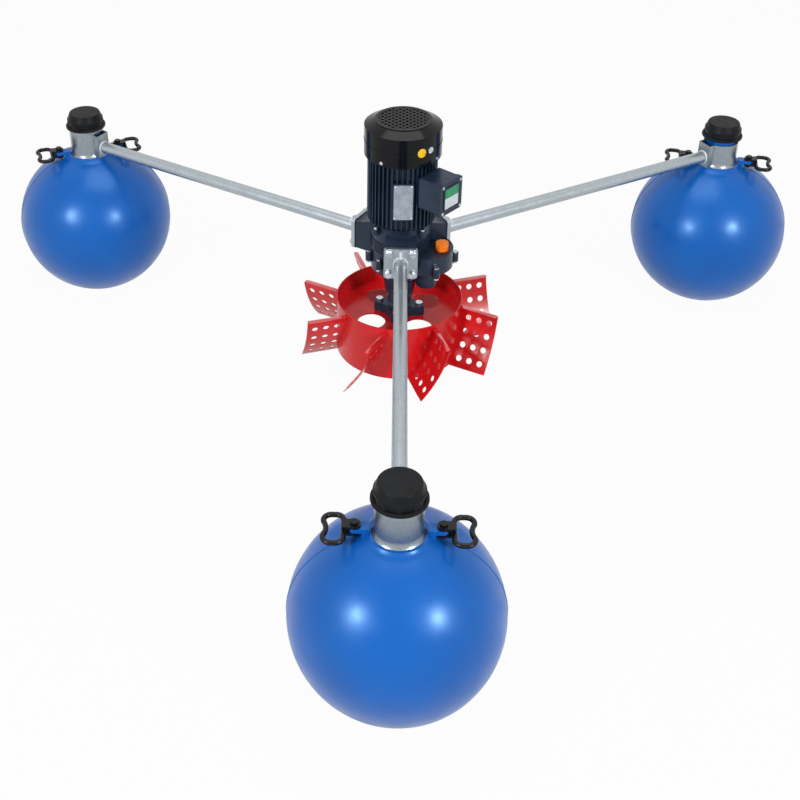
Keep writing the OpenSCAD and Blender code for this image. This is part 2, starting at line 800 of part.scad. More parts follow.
module gear_case_bolts() color(zinc) machine() {
    at_case_bolts() {
        translate([0, 0, 12]) hex_prism(case_head_r, case_head_h);
        translate([0, 0, -12]) cylinder(d = case_bolt_d, h = 24 + eps);
        translate([0, 0, -12 - case_bolt_d * 0.8]) hex_prism(case_head_r, case_bolt_d * 0.8 + eps);
    }
    at_flange_bolts() {
        translate([0, 0, motor_ear_t]) hex_prism(case_head_r, case_head_h);
        translate([0, 0, -motor_ear_t]) cylinder(d = case_bolt_d, h = 2 * motor_ear_t + eps);
    }
}

module shaft_seals() color(seal_rubber) machine() {
    translate([0, 0, roof_z])
        ring(motor_shaft_d / 2 + 9 - seat_gap, motor_shaft_d / 2 + running_gap, 9);
    translate([0, 0, neck_bottom + 1])
        ring(low_bearing_d / 2 - seat_gap, out_shaft_d / 2 + running_gap, 9);
}

module countershaft_bearings() color(gear_steel) machine() at_countershaft() {
    for (z = [roof_z, counter_low_z])
        translate([0, 0, z]) bearing(counter_bearing_d, counter_shaft_d, counter_bearing_w);
}

module output_bearings() color(gear_steel) machine() {
    translate([0, 0, out_bearing_z]) bearing(out_bearing_d, out_shaft_d, out_bearing_w);
    translate([0, 0, low_bearing_z]) bearing(low_bearing_d, out_shaft_d, low_bearing_w);
}

module oil_drain_plug() color(zinc) machine() rotate(90)
    translate([case_r, 0, cavity_floor + 10]) rotate([0, 90, 0]) {
        translate([0, 0, -12]) cylinder(d = 16, h = 14);
        translate([0, 0, 0.3]) cylinder(r = 12, h = 3);
        translate([0, 0, 3.3 - eps]) hex_prism(10, 8);
    }

module oil_filler_cap() color(oil_orange) machine()
    rotate(countershaft_az) translate([oil_cap_reach, 0, roof_top]) {
        translate([0, 0, -roof_t + 4]) cylinder(r = oil_neck_r - pivot_clearance, h = roof_t - 4 + eps);
        difference() {
            cylinder(r = 16.5, h = 22);
            for (k = [0 : 9])
                rotate(36 * k) translate([18, 0, 6]) cylinder(r = 3, h = 20);
        }
    }

module countershaft() color(gear_steel) machine() at_countershaft() {
    low = counter_low_z;
    translate([0, 0, low]) cylinder(d = counter_shaft_d, h = roof_z + counter_bearing_w - low);
    translate([0, 0, pair2_top - face2])
        rotate(countershaft_az + 180 + 180 / pinion2_n) linear_extrude(face2) gear_outline(pinion2_n);
    translate([0, 0, pair2_top - eps]) cylinder(d = counter_shaft_d + 7, h = pair1_z - pair2_top + face1);
}

module counter_gear() color(gear_steel) machine() at_countershaft()
    translate([0, 0, pair1_z])
        rotate(countershaft_az + 180 + 180 / wheel1_n)
            gear_wheel(wheel1_n, face1, counter_shaft_d / 2 + 3.5 + seat_gap);

module output_gear() color(gear_steel) machine()
    translate([0, 0, pair2_top - face2])
        rotate(countershaft_az) gear_wheel(wheel2_n, face2, out_shaft_d / 2 + seat_gap);

module output_shaft() color(gear_steel) machine()
    translate([0, 0, floor_z - floor_t]) cylinder(d = out_shaft_d, h = pair2_top - floor_z + floor_t);

// Arms
module arm() {
    difference() {
        union() {
            translate([pad_reach, 0, machine_z])
                rotate([90, 0, 90]) linear_extrude(plate_t) round_square(plate_w, plate_w, plate_corner);
            translate([pipe_from - eps, 0, machine_z])
                rotate([0, 90, 0]) cylinder(d = pipe_d, h = pipe_to - pipe_from + eps);
            translate([0, gusset_t / 2, machine_z]) rotate([90, 0, 0]) linear_extrude(gusset_t)
                for (up = [-1, 1])
                    polygon([[pipe_from - eps, 0], [pipe_from - eps, up * (pipe_d / 2 + gusset_h)],
                             [pipe_from + gusset_len, up * (pipe_d / 2 + gusset_tip_h)],
                             [pipe_from + gusset_len, 0]]);
        }
        translate([pipe_from, 0, machine_z])
            rotate([0, 90, 0]) cylinder(d = pipe_d - 2 * pipe_wall, h = arm_reach);
        translate([pad_reach - 1, 0, machine_z]) plate_bolt_places()
            rotate([0, 90, 0]) cylinder(d = plate_bolt_d + 0.2, h = plate_t + 2);
    }
}

module arm_front() color(galvanised) at_arm(front_az) arm();
module arm_left() color(galvanised) at_arm(left_az) arm();
module arm_right() color(galvanised) at_arm(right_az) arm();

module arm_bolts() color(zinc)
    for (az = arm_azimuths)
        at_arm(az) translate([pipe_from, 0, machine_z]) plate_bolt_places() rotate([0, 90, 0]) {
            translate([0, 0, -plate_t - arm_bolt_depth])
                cylinder(d = plate_bolt_d, h = plate_t + arm_bolt_depth + eps);
            ring(plate_bolt_d, plate_bolt_d / 2 - eps, 2);
            translate([0, 0, 2 - eps]) hex_prism(plate_bolt_d * 0.85, plate_bolt_d * 0.65);
            cylinder(d = plate_bolt_d, h = 3);
        }

// Radius of the collar's outside at height z above its bottom: an arc that spreads into the lip
function flare_bend_r() = (flare_h * flare_h + flare_spread * flare_spread) / (2 * flare_spread);
function band_r(z) = collar_r + flare_bend_r() - sqrt(pow(flare_bend_r(), 2) - pow(flare_h - z, 2));

// Collar: a round band with a squared nose towards the arm and a flared lower lip
module collar() {
    bore_r = neck_r + collar_gap;
    half = nose_w / 2;
    steps = 5;
    heights = [for (i = [0 : steps]) flare_h * i / steps];
    side_from = sqrt(collar_r * collar_r - half * half) - 1;
    translate([arm_reach, 0, ledge_z]) {
        difference() {
            rotate_extrude()
                polygon(concat(
                    [for (z = heights) [band_r(z), z]],
                    [[collar_r, collar_h], [bore_r, collar_h]],
                    [for (i = [steps : -1 : 0]) [band_r(heights[i]) - collar_wall, heights[i]]]));
            translate([-nose_reach, -half + collar_wall, -1])
                cube([nose_reach, nose_w - 2 * collar_wall, collar_h + 2]);
        }
        difference() {
            linear_extrude(collar_h) difference() {
                translate([-nose_reach, -half]) square([nose_reach - side_from, nose_w]);
                translate([-nose_reach + collar_wall, -half + collar_wall])
                    square([nose_reach, nose_w - 2 * collar_wall]);
            }
            translate([0, 0, -1]) cylinder(r = bore_r, h = collar_h + 2);
        }
    }
}

module float_collar_front() color(galvanised) at_arm(front_az) collar();
module float_collar_left() color(galvanised) at_arm(left_az) collar();
module float_collar_right() color(galvanised) at_arm(right_az) collar();

// Floats: a blown ball with a filleted shoulder, a neck and two handle lugs
module float_outside() {
    translate([0, 0, float_cz]) sphere(r = float_r);
    translate([0, 0, float_cz]) cylinder(r = neck_r, h = neck_top - float_cz);
    rotate_extrude() difference() {
        translate([neck_r - 2, float_cz]) square([shoulder_touch_r - neck_r + 2, ledge_z - float_cz]);
        translate([fillet_r_place, fillet_z]) circle(shoulder_fillet);
    }
    for (turn = [0, 180])
        rotate(turn) translate([0, 0, lug_top - lug_t]) {
            translate([lug_reach, 0, 0]) cylinder(d = lug_w, h = lug_t);
            translate([lug_root, -lug_w / 2, 0]) cube([lug_reach - lug_root, lug_w, lug_t]);
            // Root of the lug, down into the shoulder
            translate([lug_root, -lug_w / 2, -25]) cube([15, lug_w, 25 + lug_t]);
        }
}

module float_body() {
    difference() {
        float_outside();
        translate([0, 0, -float_r]) cylinder(r = float_r, h = float_r);
        intersection() {
            translate([0, 0, float_cz]) sphere(r = float_r - float_wall);
            translate([0, 0, float_wall]) cylinder(r = float_r, h = 2 * float_r);
        }
        translate([0, 0, float_cz]) cylinder(r = neck_r - float_wall, h = float_r + neck_top);
        for (turn = [0, 180])
            rotate(turn) translate([lug_reach, 0, lug_top - lug_t - 1])
                cylinder(d = handle_bolt_d + 2 * seat_gap, h = lug_t + 2);
    }
}

module float_front() color(float_blue) at_float(front_az, front_float_turn) float_body();
module float_left() color(float_blue) at_float(left_az, left_float_turn) float_body();
module float_right() color(float_blue) at_float(right_az, right_float_turn) float_body();

// Screw caps with grip recesses in pairs
module float_cap() {
    tier_z = cap_h - cap_tier_h;
    translate([0, 0, cap_z]) difference() {
        rotate_extrude()
            polygon([[0, 0], [cap_flange_r, 0], [cap_flange_r, cap_flange_h - 1],
                     [cap_flange_r - 1.5, cap_flange_h], [cap_skirt_r, cap_flange_h + 1.5],
                     [cap_skirt_r - 1, tier_z], [cap_top_r + 5, tier_z + 1],
                     [cap_top_r, cap_h - 2.5], [cap_top_r - 1, cap_h - 0.8],
                     [cap_top_r - 2.8, cap_h], [0, cap_h]]);
        translate([0, 0, -1]) cylinder(r = neck_r + cap_gap, h = cap_h - cap_roof + 1);
        for (k = [0 : 3], side = [-1, 1])
            rotate(90 * k + side * 17.5)
                translate([cap_skirt_r - 3.2, -13.5, cap_flange_h + 2.5])
                    cube([8, 27, tier_z - cap_flange_h - 5]);
    }
}

module float_cap_front() color(cap_black) at_float(front_az, front_float_turn - 90) float_cap();
module float_cap_left() color(cap_black) at_float(left_az, left_float_turn - 90) float_cap();
module float_cap_right() color(cap_black) at_float(right_az, right_float_turn - 90) float_cap();

// Handles: a round rod bent into a closed loop with a hollow grip, and two prongs over the lug
module rod_arc(r, d, from, sweep) {
    rotate(from) rotate_extrude(angle = sweep) translate([r, 0]) circle(d = d);
}

module handle() {
    reach_in = lug_w / 2 + 1.5;
    block_w = lug_w;
    block_h = 2 * (prong_z + prong_t);
    outer_sweep = 90 + grip_half_angle + 2 * bend_lap;
    translate([lug_reach, 0, handle_mid]) difference() {
        union() {
            translate([0, 0, -loop_drop]) {
                translate([bar_place, bar_half, 0]) rotate([90, 0, 0]) cylinder(d = rod_d, h = 2 * bar_half);
                for (side = [-1, 1]) {
                    translate([bar_place + bend_r, side * bar_half, 0])
                        rod_arc(bend_r, bend_d, (side > 0 ? 90 : 180) - bend_lap, 90 + 2 * bend_lap);
                    translate([bar_place + bend_r, side * (bar_half + bend_r), 0])
                        rotate([0, 90, 0]) cylinder(d = rod_d, h = side_len);
                    translate([outer_bend, side * bar_half, 0])
                        rod_arc(bend_r, bend_d, (side > 0 ? -grip_half_angle : -90) - bend_lap, outer_sweep);
                }
                translate([grip_centre, 0, 0])
                    rod_arc(grip_r, rod_d, 180 - grip_half_angle, 2 * grip_half_angle);
            }
            for (z = [prong_z, -prong_z - prong_t])
                translate([0, 0, z]) {
                    cylinder(r = prong_r, h = prong_t);
                    translate([0, -block_w / 2, 0]) cube([reach_in + eps, block_w, prong_t]);
                }
            translate([reach_in, -block_w / 2, -block_h / 2])
                cube([bar_place + 2 - reach_in, block_w, block_h]);
        }
        translate([0, 0, -block_h]) cylinder(d = handle_bolt_d + 2 * pivot_clearance, h = 2 * block_h);
    }
}

module handle_front_a() color(handle_black) at_float(front_az, front_float_turn) handle();
module handle_front_b() color(handle_black) at_float(front_az, front_float_turn + 180) handle();
module handle_left_a() color(handle_black) at_float(left_az, left_float_turn) handle();
module handle_left_b() color(handle_black) at_float(left_az, left_float_turn + 180) handle();
module handle_right_a() color(handle_black) at_float(right_az, right_float_turn) handle();
module handle_right_b() color(handle_black) at_float(right_az, right_float_turn + 180) handle();

module handle_bolts() color(handle_black)
    for (place = [[front_az, front_float_turn], [left_az, left_float_turn], [right_az, right_float_turn]],
         turn = [0, 180]) {
        reach = prong_z + prong_t + prong_gap;
        at_float(place[0], place[1] + turn) translate([lug_reach, 0, handle_mid]) {
            translate([0, 0, -reach - eps]) cylinder(d = handle_bolt_d, h = 2 * reach + 2 * eps);
            translate([0, 0, reach]) cylinder(r = bolt_head_r, h = bolt_head_h);
            translate([0, 0, -reach - bolt_head_h]) hex_prism(bolt_head_r, bolt_head_h);
        }
    }

// Impeller
module impeller_frame() {
    machine() rotate(impeller_turn) children();
}

module drum_wall() color(impeller_red) impeller_frame()
    translate([0, 0, rim_z - drum_h]) ring(drum_r, drum_in_r, drum_h);

module at_lobes() {
    for (k = [0 : 3])
        rotate(90 * k) translate([lobe_reach, 0, 0]) children();
}

module drum_floor() color(impeller_red) impeller_frame() difference() {
    translate([0, 0, floor_z - floor_t]) cylinder(r = drum_in_r - seat_gap, h = floor_t);
    translate([0, 0, floor_z - floor_t - 1]) {
        cylinder(d = out_shaft_d + 2 * seat_gap, h = floor_t + 2);
        for (k = [0 : 3])
            rotate(45 + 90 * k) translate([drain_reach, 0, 0]) cylinder(r = drain_r, h = floor_t + 2);
        at_lobes() cylinder(d = hub_bolt_d + 0.2, h = floor_t + 2);
    }
}

// Four lobes joined by hollow sides
module hub_outline() {
    touch_in = lobe_reach + (hollow_reach * cos(45) - lobe_reach) * lobe_r / (lobe_r + hollow_r);
    touch_out = hollow_reach * sin(45) * lobe_r / (lobe_r + hollow_r);
    difference() {
        union() {
            at_lobes() circle(lobe_r);
            polygon([for (k = [0 : 3], side = [-1, 1])
                let(c = cos(90 * k), s = sin(90 * k))
                [touch_in * c - side * touch_out * s, touch_in * s + side * touch_out * c]]);
        }
        for (k = [0 : 3])
            rotate(45 + 90 * k) translate([hollow_reach, 0]) circle(hollow_r + 0.3);
    }
}

module impeller_hub() color(motor_paint) impeller_frame() difference() {
    union() {
        translate([0, 0, floor_z]) linear_extrude(hub_h) hub_outline();
        translate([0, 0, hub_top - eps]) cylinder(r1 = out_shaft_d / 2 + 16, r2 = out_shaft_d / 2 + 10, h = 8);
    }
    translate([0, 0, floor_z - 1]) cylinder(d = out_shaft_d + 2 * seat_gap, h = hub_h + 20);
    translate([0, 0, floor_z - 1]) at_lobes() cylinder(d = hub_bolt_d + 0.2, h = hub_h + 2);
}

module hub_bolts() color(zinc) impeller_frame() {
    at_lobes() {
        translate([0, 0, floor_z - floor_t - eps]) cylinder(d = hub_bolt_d, h = hub_h + floor_t + 2 * eps);
        translate([0, 0, hub_top]) hex_prism(hub_bolt_d * 0.85, hub_bolt_d * 0.65);
        translate([0, 0, floor_z - floor_t - hub_bolt_d * 0.8]) hex_prism(hub_bolt_d * 0.85, hub_bolt_d * 0.8);
    }
    // Washer and bolt that close the end of the output shaft
    translate([0, 0, floor_z - floor_t - 4]) cylinder(r = out_shaft_d / 2 + 8, h = 4);
    translate([0, 0, floor_z - floor_t - 4 - hub_bolt_d * 0.65 + eps])
        hex_prism(hub_bolt_d * 0.85, hub_bolt_d * 0.65);
}

// One blade: a slice of a bent sheet, swept back, perforated, trimmed to the drum
module blade(k) {
    root_in = 24;
    arc = lean_bottom - lean_top;
    length = blade_w + root_in;
    impeller_frame() rotate(360 * k / blade_n) difference() {
        translate([drum_r, 0, rim_z - blade_drop]) rotate(-blade_sweep)
            // The bend's axis lies along the blade; its top edge passes through this frame's origin
            translate([-root_in, -blade_bend * cos(lean_top), blade_bend * sin(lean_top)])
                rotate([90, 0, 90]) difference() {
                    rotate(-lean_bottom) rotate_extrude(angle = arc)
                        translate([blade_bend - blade_t / 2, 0]) square([blade_t, length]);
                    for (row = [0 : 3], column = [0 : 2])
                        rotate(-lean_top - arc / 2 + (row - 1.5) * row_pitch)
                            translate([blade_bend - 10, 0, length - blade_w / 2 + 2 + (column - 1) * hole_pitch])
                                rotate([0, 90, 0]) cylinder(d = hole_d, h = 20);
                    rotate(-lean_bottom)
                        translate([blade_bend - 10, 0, length]) rotate([45, 0, 0])
                            cube([20, corner_cut, corner_cut], center = true);
                }
        translate([0, 0, rim_z - drum_h - 60]) cylinder(r = drum_r + seat_gap, h = drum_h + 80);
    }
}

module blade_1() color(impeller_red) blade(0);
module blade_2() color(impeller_red) blade(1);
module blade_3() color(impeller_red) blade(2);
module blade_4() color(impeller_red) blade(3);
module blade_5() color(impeller_red) blade(4);
module blade_6() color(impeller_red) blade(5);
module blade_7() color(impeller_red) blade(6);
module blade_8() color(impeller_red) blade(7);

motor_frame();
stator_core();
upper_end_shield();
lower_end_shield();
fan_cover();
cover_screws();
terminal_box();
terminal_box_lid();
cable_gland();
name_plate();
motor_bearings();
gear_case();
gear_case_cover();
gear_case_bolts();
shaft_seals();
countershaft_bearings();
output_bearings();
oil_drain_plug();
arm_front();
arm_left();
arm_right();
float_collar_front();
float_collar_left();
float_collar_right();
arm_bolts();
float_front();
float_left();
float_right();
handle_bolts();
output_shaft();
output_gear();
impeller_hub();
hub_bolts();
drum_wall();
drum_floor();
blade_1();
blade_2();
blade_3();
blade_4();
blade_5();
blade_6();
blade_7();
blade_8();
countershaft();
counter_gear();
motor_shaft();
rotor_core();
cooling_fan();
oil_filler_cap();
float_cap_front();
float_cap_left();
float_cap_right();
handle_front_a();
handle_front_b();
handle_left_a();
handle_left_b();
handle_right_a();
handle_right_b();
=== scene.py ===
"""Looks of a floating impeller aerator: finishes, small fittings, the studio and the camera."""

import logging
import math
from dataclasses import dataclass
from enum import Enum
from typing import Any, Callable, Iterable, Sequence

import bmesh
import bpy
from mathutils import Matrix, Vector


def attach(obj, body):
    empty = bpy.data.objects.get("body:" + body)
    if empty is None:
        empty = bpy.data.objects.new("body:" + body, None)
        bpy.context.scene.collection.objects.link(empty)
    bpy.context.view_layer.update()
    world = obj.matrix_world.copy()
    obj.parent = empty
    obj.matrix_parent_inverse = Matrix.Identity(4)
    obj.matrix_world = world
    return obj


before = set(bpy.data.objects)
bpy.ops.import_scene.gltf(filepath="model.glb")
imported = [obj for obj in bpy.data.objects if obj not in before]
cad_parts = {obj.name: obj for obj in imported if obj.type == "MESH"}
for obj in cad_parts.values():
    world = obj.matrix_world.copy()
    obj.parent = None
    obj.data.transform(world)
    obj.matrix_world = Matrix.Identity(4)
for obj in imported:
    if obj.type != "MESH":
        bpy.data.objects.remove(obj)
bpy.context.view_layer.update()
LOG = logging.getLogger("aerator")
MM = 0.001
# Slack when faces and edges are picked by their place
CLOSE = 0.05 * MM
# Least part of a normal along an axis for a face to look that way, or to lie quite flat
FACING = 0.9
FLAT = 0.99
# Edges sharper than this stay sharp, in degrees
SHARP = 35.0


def linear(code: str) -> tuple[float, float, float, float]:
    """Turn an sRGB hex code into linear light.

    Args:
        code: Six hex digits after a hash sign.

    Returns:
        Red, green, blue and alpha of a colour socket.
    """
    parts = [int(code[i:i + 2], 16) / 255 for i in (1, 3, 5)]
    lit = [c / 12.92 if c <= 0.04045 else ((c + 0.055) / 1.055) ** 2.4 for c in parts]
    return (lit[0], lit[1], lit[2], 1.0)


class Grain(Enum):
    """The surface pattern that a finish has."""

    PEEL = "fine orange peel of moulded or sprayed skin"
    SPANGLE = "zinc crystals of hot-dip galvanising"
    BRUSHED = "fine lines along one direction"
    CAST = "pits of a casting under enamel"
    SATIN = "even, fine spark-eroded texture"
    SCUFFED = "short fine scratches in all directions on a moulded skin"


@dataclass(frozen=True)
class Layer:
    """One layer of relief, as multiples of a finish's own grain."""

    width: float = 1.0
    depth: float = 1.0
    strength: float = 1.0
    detail: float = 2.0
    stretch: tuple[float, float, float] | None = None


FINE = Layer()
RELIEF = {
    Grain.PEEL: (FINE, Layer(width=14, depth=6, strength=0.5, detail=1.0)),
    Grain.SPANGLE: (FINE,),
    Grain.BRUSHED: (Layer(detail=3.0, stretch=(1.0, 1.0, 0.03)),),
    Grain.CAST: (FINE, Layer(width=6, depth=5, detail=3.0)),
    Grain.SATIN: (FINE,),
    Grain.SCUFFED: (Layer(width=4, detail=3.0, stretch=(0.12, 1.0, 1.0)),
                    Layer(width=5, detail=3.0, stretch=(1.0, 0.7, 0.1))),
}
# Grey levels of a noise between which a tone, a roughness or a speck of dust changes
TONE_EDGES = (0.34, 0.66)
ROUGH_EDGES = (0.3, 0.7)
DUST_EDGES = (0.66, 0.8)
CRYSTAL_EDGES = (0.0, 1.0)
# Specks of dust: their distance, and how much of them shows at most
DUST_MM = 2.2
NO_DUST = (0.0, 0.0, 0.0, 1.0)
MOST_DUST = (0.55, 0.55, 0.55, 1.0)
# Roughness changes over a third of the distance that the tone does
ROUGH_SHARE = 3
COAT_ROUGHNESS = 0.12
# From this share of metal on, a finish keeps the shader's own IOR and gloss
METAL_FROM = 0.5
# A texture's scale counts per metre
PER_METRE = 1000
# Sockets of a colour mix by number, since their names repeat
MIX_FACTOR = 0
MIX_FIRST = 6
MIX_SECOND = 7
MIX_RESULT = 2


def add_node(tree: bpy.types.NodeTree, kind: str, inputs: dict[Any, Any] | None = None,
             stops: Iterable[tuple[float, Any]] = (), **settings: Any) -> bpy.types.Node:
    """Add a node with its settings, constants and links.

    Args:
        tree: The node tree that gets it.
        kind: The node's type.
        inputs: Socket name or number, and a constant or an output socket to link.
        stops: Place and linear colour of both stops, where the node is a colour ramp.
        settings: The node's own properties.

    Returns:
        The new node.
    """
    node = tree.nodes.new(kind)
    for key, value in settings.items():
        setattr(node, key, value)
    for i, (where, colour) in enumerate(stops):
        node.color_ramp.elements[i].position = where
        node.color_ramp.elements[i].color = colour
    for key, value in (inputs or {}).items():
        if isinstance(value, bpy.types.NodeSocket):
            tree.links.new(value, node.inputs[key])
        else:
            node.inputs[key].default_value = value
    return node


@dataclass(frozen=True)
class Finish:
    """One real surface: its colours, gloss and pattern."""

    name: str
    dark: str
    light: str
    grain: Grain
    rough: tuple[float, float]
    metal: float = 0.0
    ior: float = 1.5
    tone_mm: float = 90.0
    grain_mm: float = 1.2
    depth_mm: float = 0.05
    strength: float = 0.25
    coat: float = 0.0
    dust: str = ""
    gloss: float = 0.25
    sheen_tint: str = "#ffffff"

    def colour(self, tree: bpy.types.NodeTree, place: bpy.types.NodeSocket) -> bpy.types.NodeSocket:
        """Wire the colour: crystals or slow changes of tone, and dust where the finish has it.

        Args:
            tree: The material's node tree.
            place: The Object coordinates.

        Returns:
            The colour output.
        """
        if self.grain is Grain.SPANGLE:
            wired = {"Vector": place, "Scale": PER_METRE / self.grain_mm, "Randomness": 1.0}
            cells = add_node(tree, "ShaderNodeTexVoronoi", wired).outputs["Color"]
            grey = add_node(tree, "ShaderNodeSeparateColor", {"Color": cells}).outputs["Red"]
            edges = CRYSTAL_EDGES
        else:
            wired = {"Vector": place, "Scale": PER_METRE / self.tone_mm, "Detail": 3.0}
            grey = add_node(tree, "ShaderNodeTexNoise", wired).outputs["Fac"]
            edges = TONE_EDGES
        ends = zip(edges, (linear(self.dark), linear(self.light)))
        tone = add_node(tree, "ShaderNodeValToRGB", {"Fac": grey}, ends).outputs["Color"]
        if not self.dust:
            return tone
        wired = {"Vector": place, "Scale": PER_METRE / DUST_MM, "Detail": 2.0}
        speck = add_node(tree, "ShaderNodeTexNoise", wired).outputs["Fac"]
        ends = zip(DUST_EDGES, (NO_DUST, MOST_DUST))
        mask = add_node(tree, "ShaderNodeValToRGB", {"Fac": speck}, ends).outputs["Color"]
        wired = {MIX_FACTOR: mask, MIX_FIRST: tone, MIX_SECOND: linear(self.dust)}
        return add_node(tree, "ShaderNodeMix", wired, data_type="RGBA").outputs[MIX_RESULT]

    def relief(self, tree: bpy.types.NodeTree, place: bpy.types.NodeSocket) -> bpy.types.NodeSocket:
        """Wire the fine relief, layer on layer.

        Args:
            tree: The material's node tree.
            place: The Object coordinates.

        Returns:
            The normal output of the top layer.
        """
        normal = None
        for layer in RELIEF[self.grain]:
            spot = place
            if layer.stretch:
                wired = {"Vector": place, "Scale": layer.stretch}
                spot = add_node(tree, "ShaderNodeMapping", wired).outputs["Vector"]
            scale = PER_METRE / (self.grain_mm * layer.width)
            wired = {"Vector": spot, "Scale": scale, "Detail": layer.detail}
            height = add_node(tree, "ShaderNodeTexNoise", wired).outputs["Fac"]
            wired = {"Height": height, "Distance": self.depth_mm * layer.depth * MM,
                     "Strength": self.strength * layer.strength}
            if normal is not None:
                wired["Normal"] = normal
            normal = add_node(tree, "ShaderNodeBump", wired).outputs["Normal"]
        return normal

    def build(self) -> bpy.types.Material:
        """Make the material.

        Returns:
            The finished material.
        """
        material = bpy.data.materials.new(self.name)
        material.use_nodes = True
        tree = material.node_tree
        tree.nodes.clear()
        place = add_node(tree, "ShaderNodeTexCoord").outputs["Object"]
        wired = {"Vector": place, "Scale": PER_METRE / (self.tone_mm / ROUGH_SHARE), "Detail": 4.0}
        grey = add_node(tree, "ShaderNodeTexNoise", wired).outputs["Fac"]
        wired = {"Value": grey, "From Min": ROUGH_EDGES[0], "From Max": ROUGH_EDGES[1],
                 "To Min": self.rough[0], "To Max": self.rough[1]}
        rough = add_node(tree, "ShaderNodeMapRange", wired).outputs["Result"]
        wired = {"Base Color": self.colour(tree, place), "Roughness": rough, "Metallic": self.metal,
                 "Normal": self.relief(tree, place)}
        if self.metal < METAL_FROM:
            wired["IOR"] = self.ior
            wired["Specular IOR Level"] = self.gloss
            wired["Specular Tint"] = linear(self.sheen_tint)
        if self.coat:
            wired["Coat Weight"] = self.coat
            wired["Coat Roughness"] = COAT_ROUGHNESS
        shader = add_node(tree, "ShaderNodeBsdfPrincipled", wired)
        add_node(tree, "ShaderNodeOutputMaterial", {"Surface": shader.outputs["BSDF"]})
        material.diffuse_color = linear(self.light)
        return material


# Spark-eroded and brushed grains are really 0.1 to 0.2 mm wide. They are drawn 0.4 to 0.8 mm wide,
# since finer ones would not show.

# Blow-moulded polyethylene: even strong blue, with a soft gloss that fine scuffs break up
FLOAT_BLUE = Finish("float_blue_polyethylene", "#0052a5", "#0259af", Grain.SCUFFED, (0.27, 0.38),
                    tone_mm=160, grain_mm=2.2, depth_mm=0.06, strength=0.2, gloss=0.8, sheen_tint="#9fcdff")
# Injection-moulded cap: charcoal with a fine matt texture that catches a wide, weak highlight
CAP_CHARCOAL = Finish("cap_charcoal_polypropylene", "#0a0b0d", "#111316", Grain.SATIN, (0.4, 0.52),
                      tone_mm=40, grain_mm=0.6, depth_mm=0.04, strength=0.35, gloss=0.14)
# Moulded nylon: near black, smoother than the cap
HANDLE_BLACK = Finish("handle_black_nylon", "#08090a", "#101113", Grain.SATIN, (0.24, 0.34), tone_mm=30,
                      grain_mm=0.7, depth_mm=0.03, strength=0.25)
# Hot-dip galvanised steel: pale grey zinc with crystals a few millimetres wide
GALVANISED = Finish("galvanised_steel", "#a1aaaf", "#acb4b9", Grain.SPANGLE, (0.28, 0.4), metal=0.9,
                    grain_mm=4.0, depth_mm=0.02, strength=0.1)
# Rolled collar bands: the same zinc, smoother, with painted shade: a darker grey than the pipes' zinc
COLLAR_ZINC_SHADED = Finish("galvanised_collar_painted_shade", "#8a9399", "#969fa4", Grain.SPANGLE, (0.24, 0.32), metal=0.9,
                     grain_mm=3.0, depth_mm=0.02, strength=0.08)
# Weld metal under zinc: whiter and rougher than the pipe
WELD_WHITE = Finish("weld_bead_zinc_sprayed", "#b9bec2", "#dadddf", Grain.CAST, (0.45, 0.65), metal=0.45,
                    tone_mm=8, grain_mm=0.9, depth_mm=0.08, strength=0.5)
# Zinc-plated fasteners: bright, bluish, small scuffs
ZINC = Finish("zinc_plated_steel", "#b4bac0", "#d6dbe0", Grain.BRUSHED, (0.2, 0.36), metal=1.0, tone_mm=9,
              grain_mm=0.8, depth_mm=0.02, strength=0.2)
# Sprayed enamel on die-cast aluminium: near-black blue grey, glossy over the casting's fine pits
MOTOR_ENAMEL = Finish("motor_enamel_on_aluminium", "#172436", "#1f2f45", Grain.CAST, (0.2, 0.32),
                      tone_mm=70, grain_mm=0.9, depth_mm=0.05, strength=0.2)
# Glossy black enamel on pressed steel, with a faint orange peel
COVER_ENAMEL = Finish("fan_cover_gloss_enamel", "#07080a", "#0d0f12", Grain.PEEL, (0.12, 0.2), tone_mm=80,
                      grain_mm=1.4, depth_mm=0.03, strength=0.18, coat=0.1, gloss=0.12)
# The same enamel on sand-cast iron: coarser pits
CASE_ENAMEL = Finish("case_enamel_on_cast_iron", "#1b2636", "#253246", Grain.CAST, (0.24, 0.38), tone_mm=60,
                     grain_mm=1.3, depth_mm=0.1, strength=0.3, dust="#2b3440")
# Red powder coat on sheet steel: saturated, glossy, faint peel
POWDER_RED = Finish("powder_coat_red", "#c41016", "#d0161b", Grain.PEEL, (0.2, 0.3), tone_mm=90,
                    grain_mm=1.3, depth_mm=0.03, strength=0.2, coat=0.05, gloss=0.3)
# The same coat on the folded lips with a painted sheen: a lighter, glossier copy of the red, so the lips
# mirror the room as a bright strip
POWDER_RED_LIP_SHEEN = Finish("powder_coat_red_painted_sheen", "#c8161c", "#d61d22", Grain.PEEL, (0.1, 0.16),
                        tone_mm=60, grain_mm=1.3, depth_mm=0.02, strength=0.12, coat=0.9, gloss=1.0)
# Anodised aluminium plate, brushed: fine upright lines and a soft metal shine
PLATE_METAL = Finish("name_plate_anodised_aluminium", "#aab0b6", "#c6cbd0", Grain.BRUSHED, (0.28, 0.4),
                     metal=0.9, tone_mm=20, grain_mm=0.5, depth_mm=0.02, strength=0.3)
# Orange moulded nylon, bright with soft gloss
OIL_ORANGE = Finish("oil_cap_orange_nylon", "#f57a12", "#ff8f22", Grain.SATIN, (0.3, 0.42), tone_mm=18,
                    grain_mm=0.8, depth_mm=0.03, strength=0.25)
# Fibre gasket: dark red and quite matt
GASKET_RED = Finish("gasket_fibre", "#5a1512", "#74201a", Grain.SATIN, (0.6, 0.8), tone_mm=10, grain_mm=0.5,
                    depth_mm=0.05, strength=0.4)
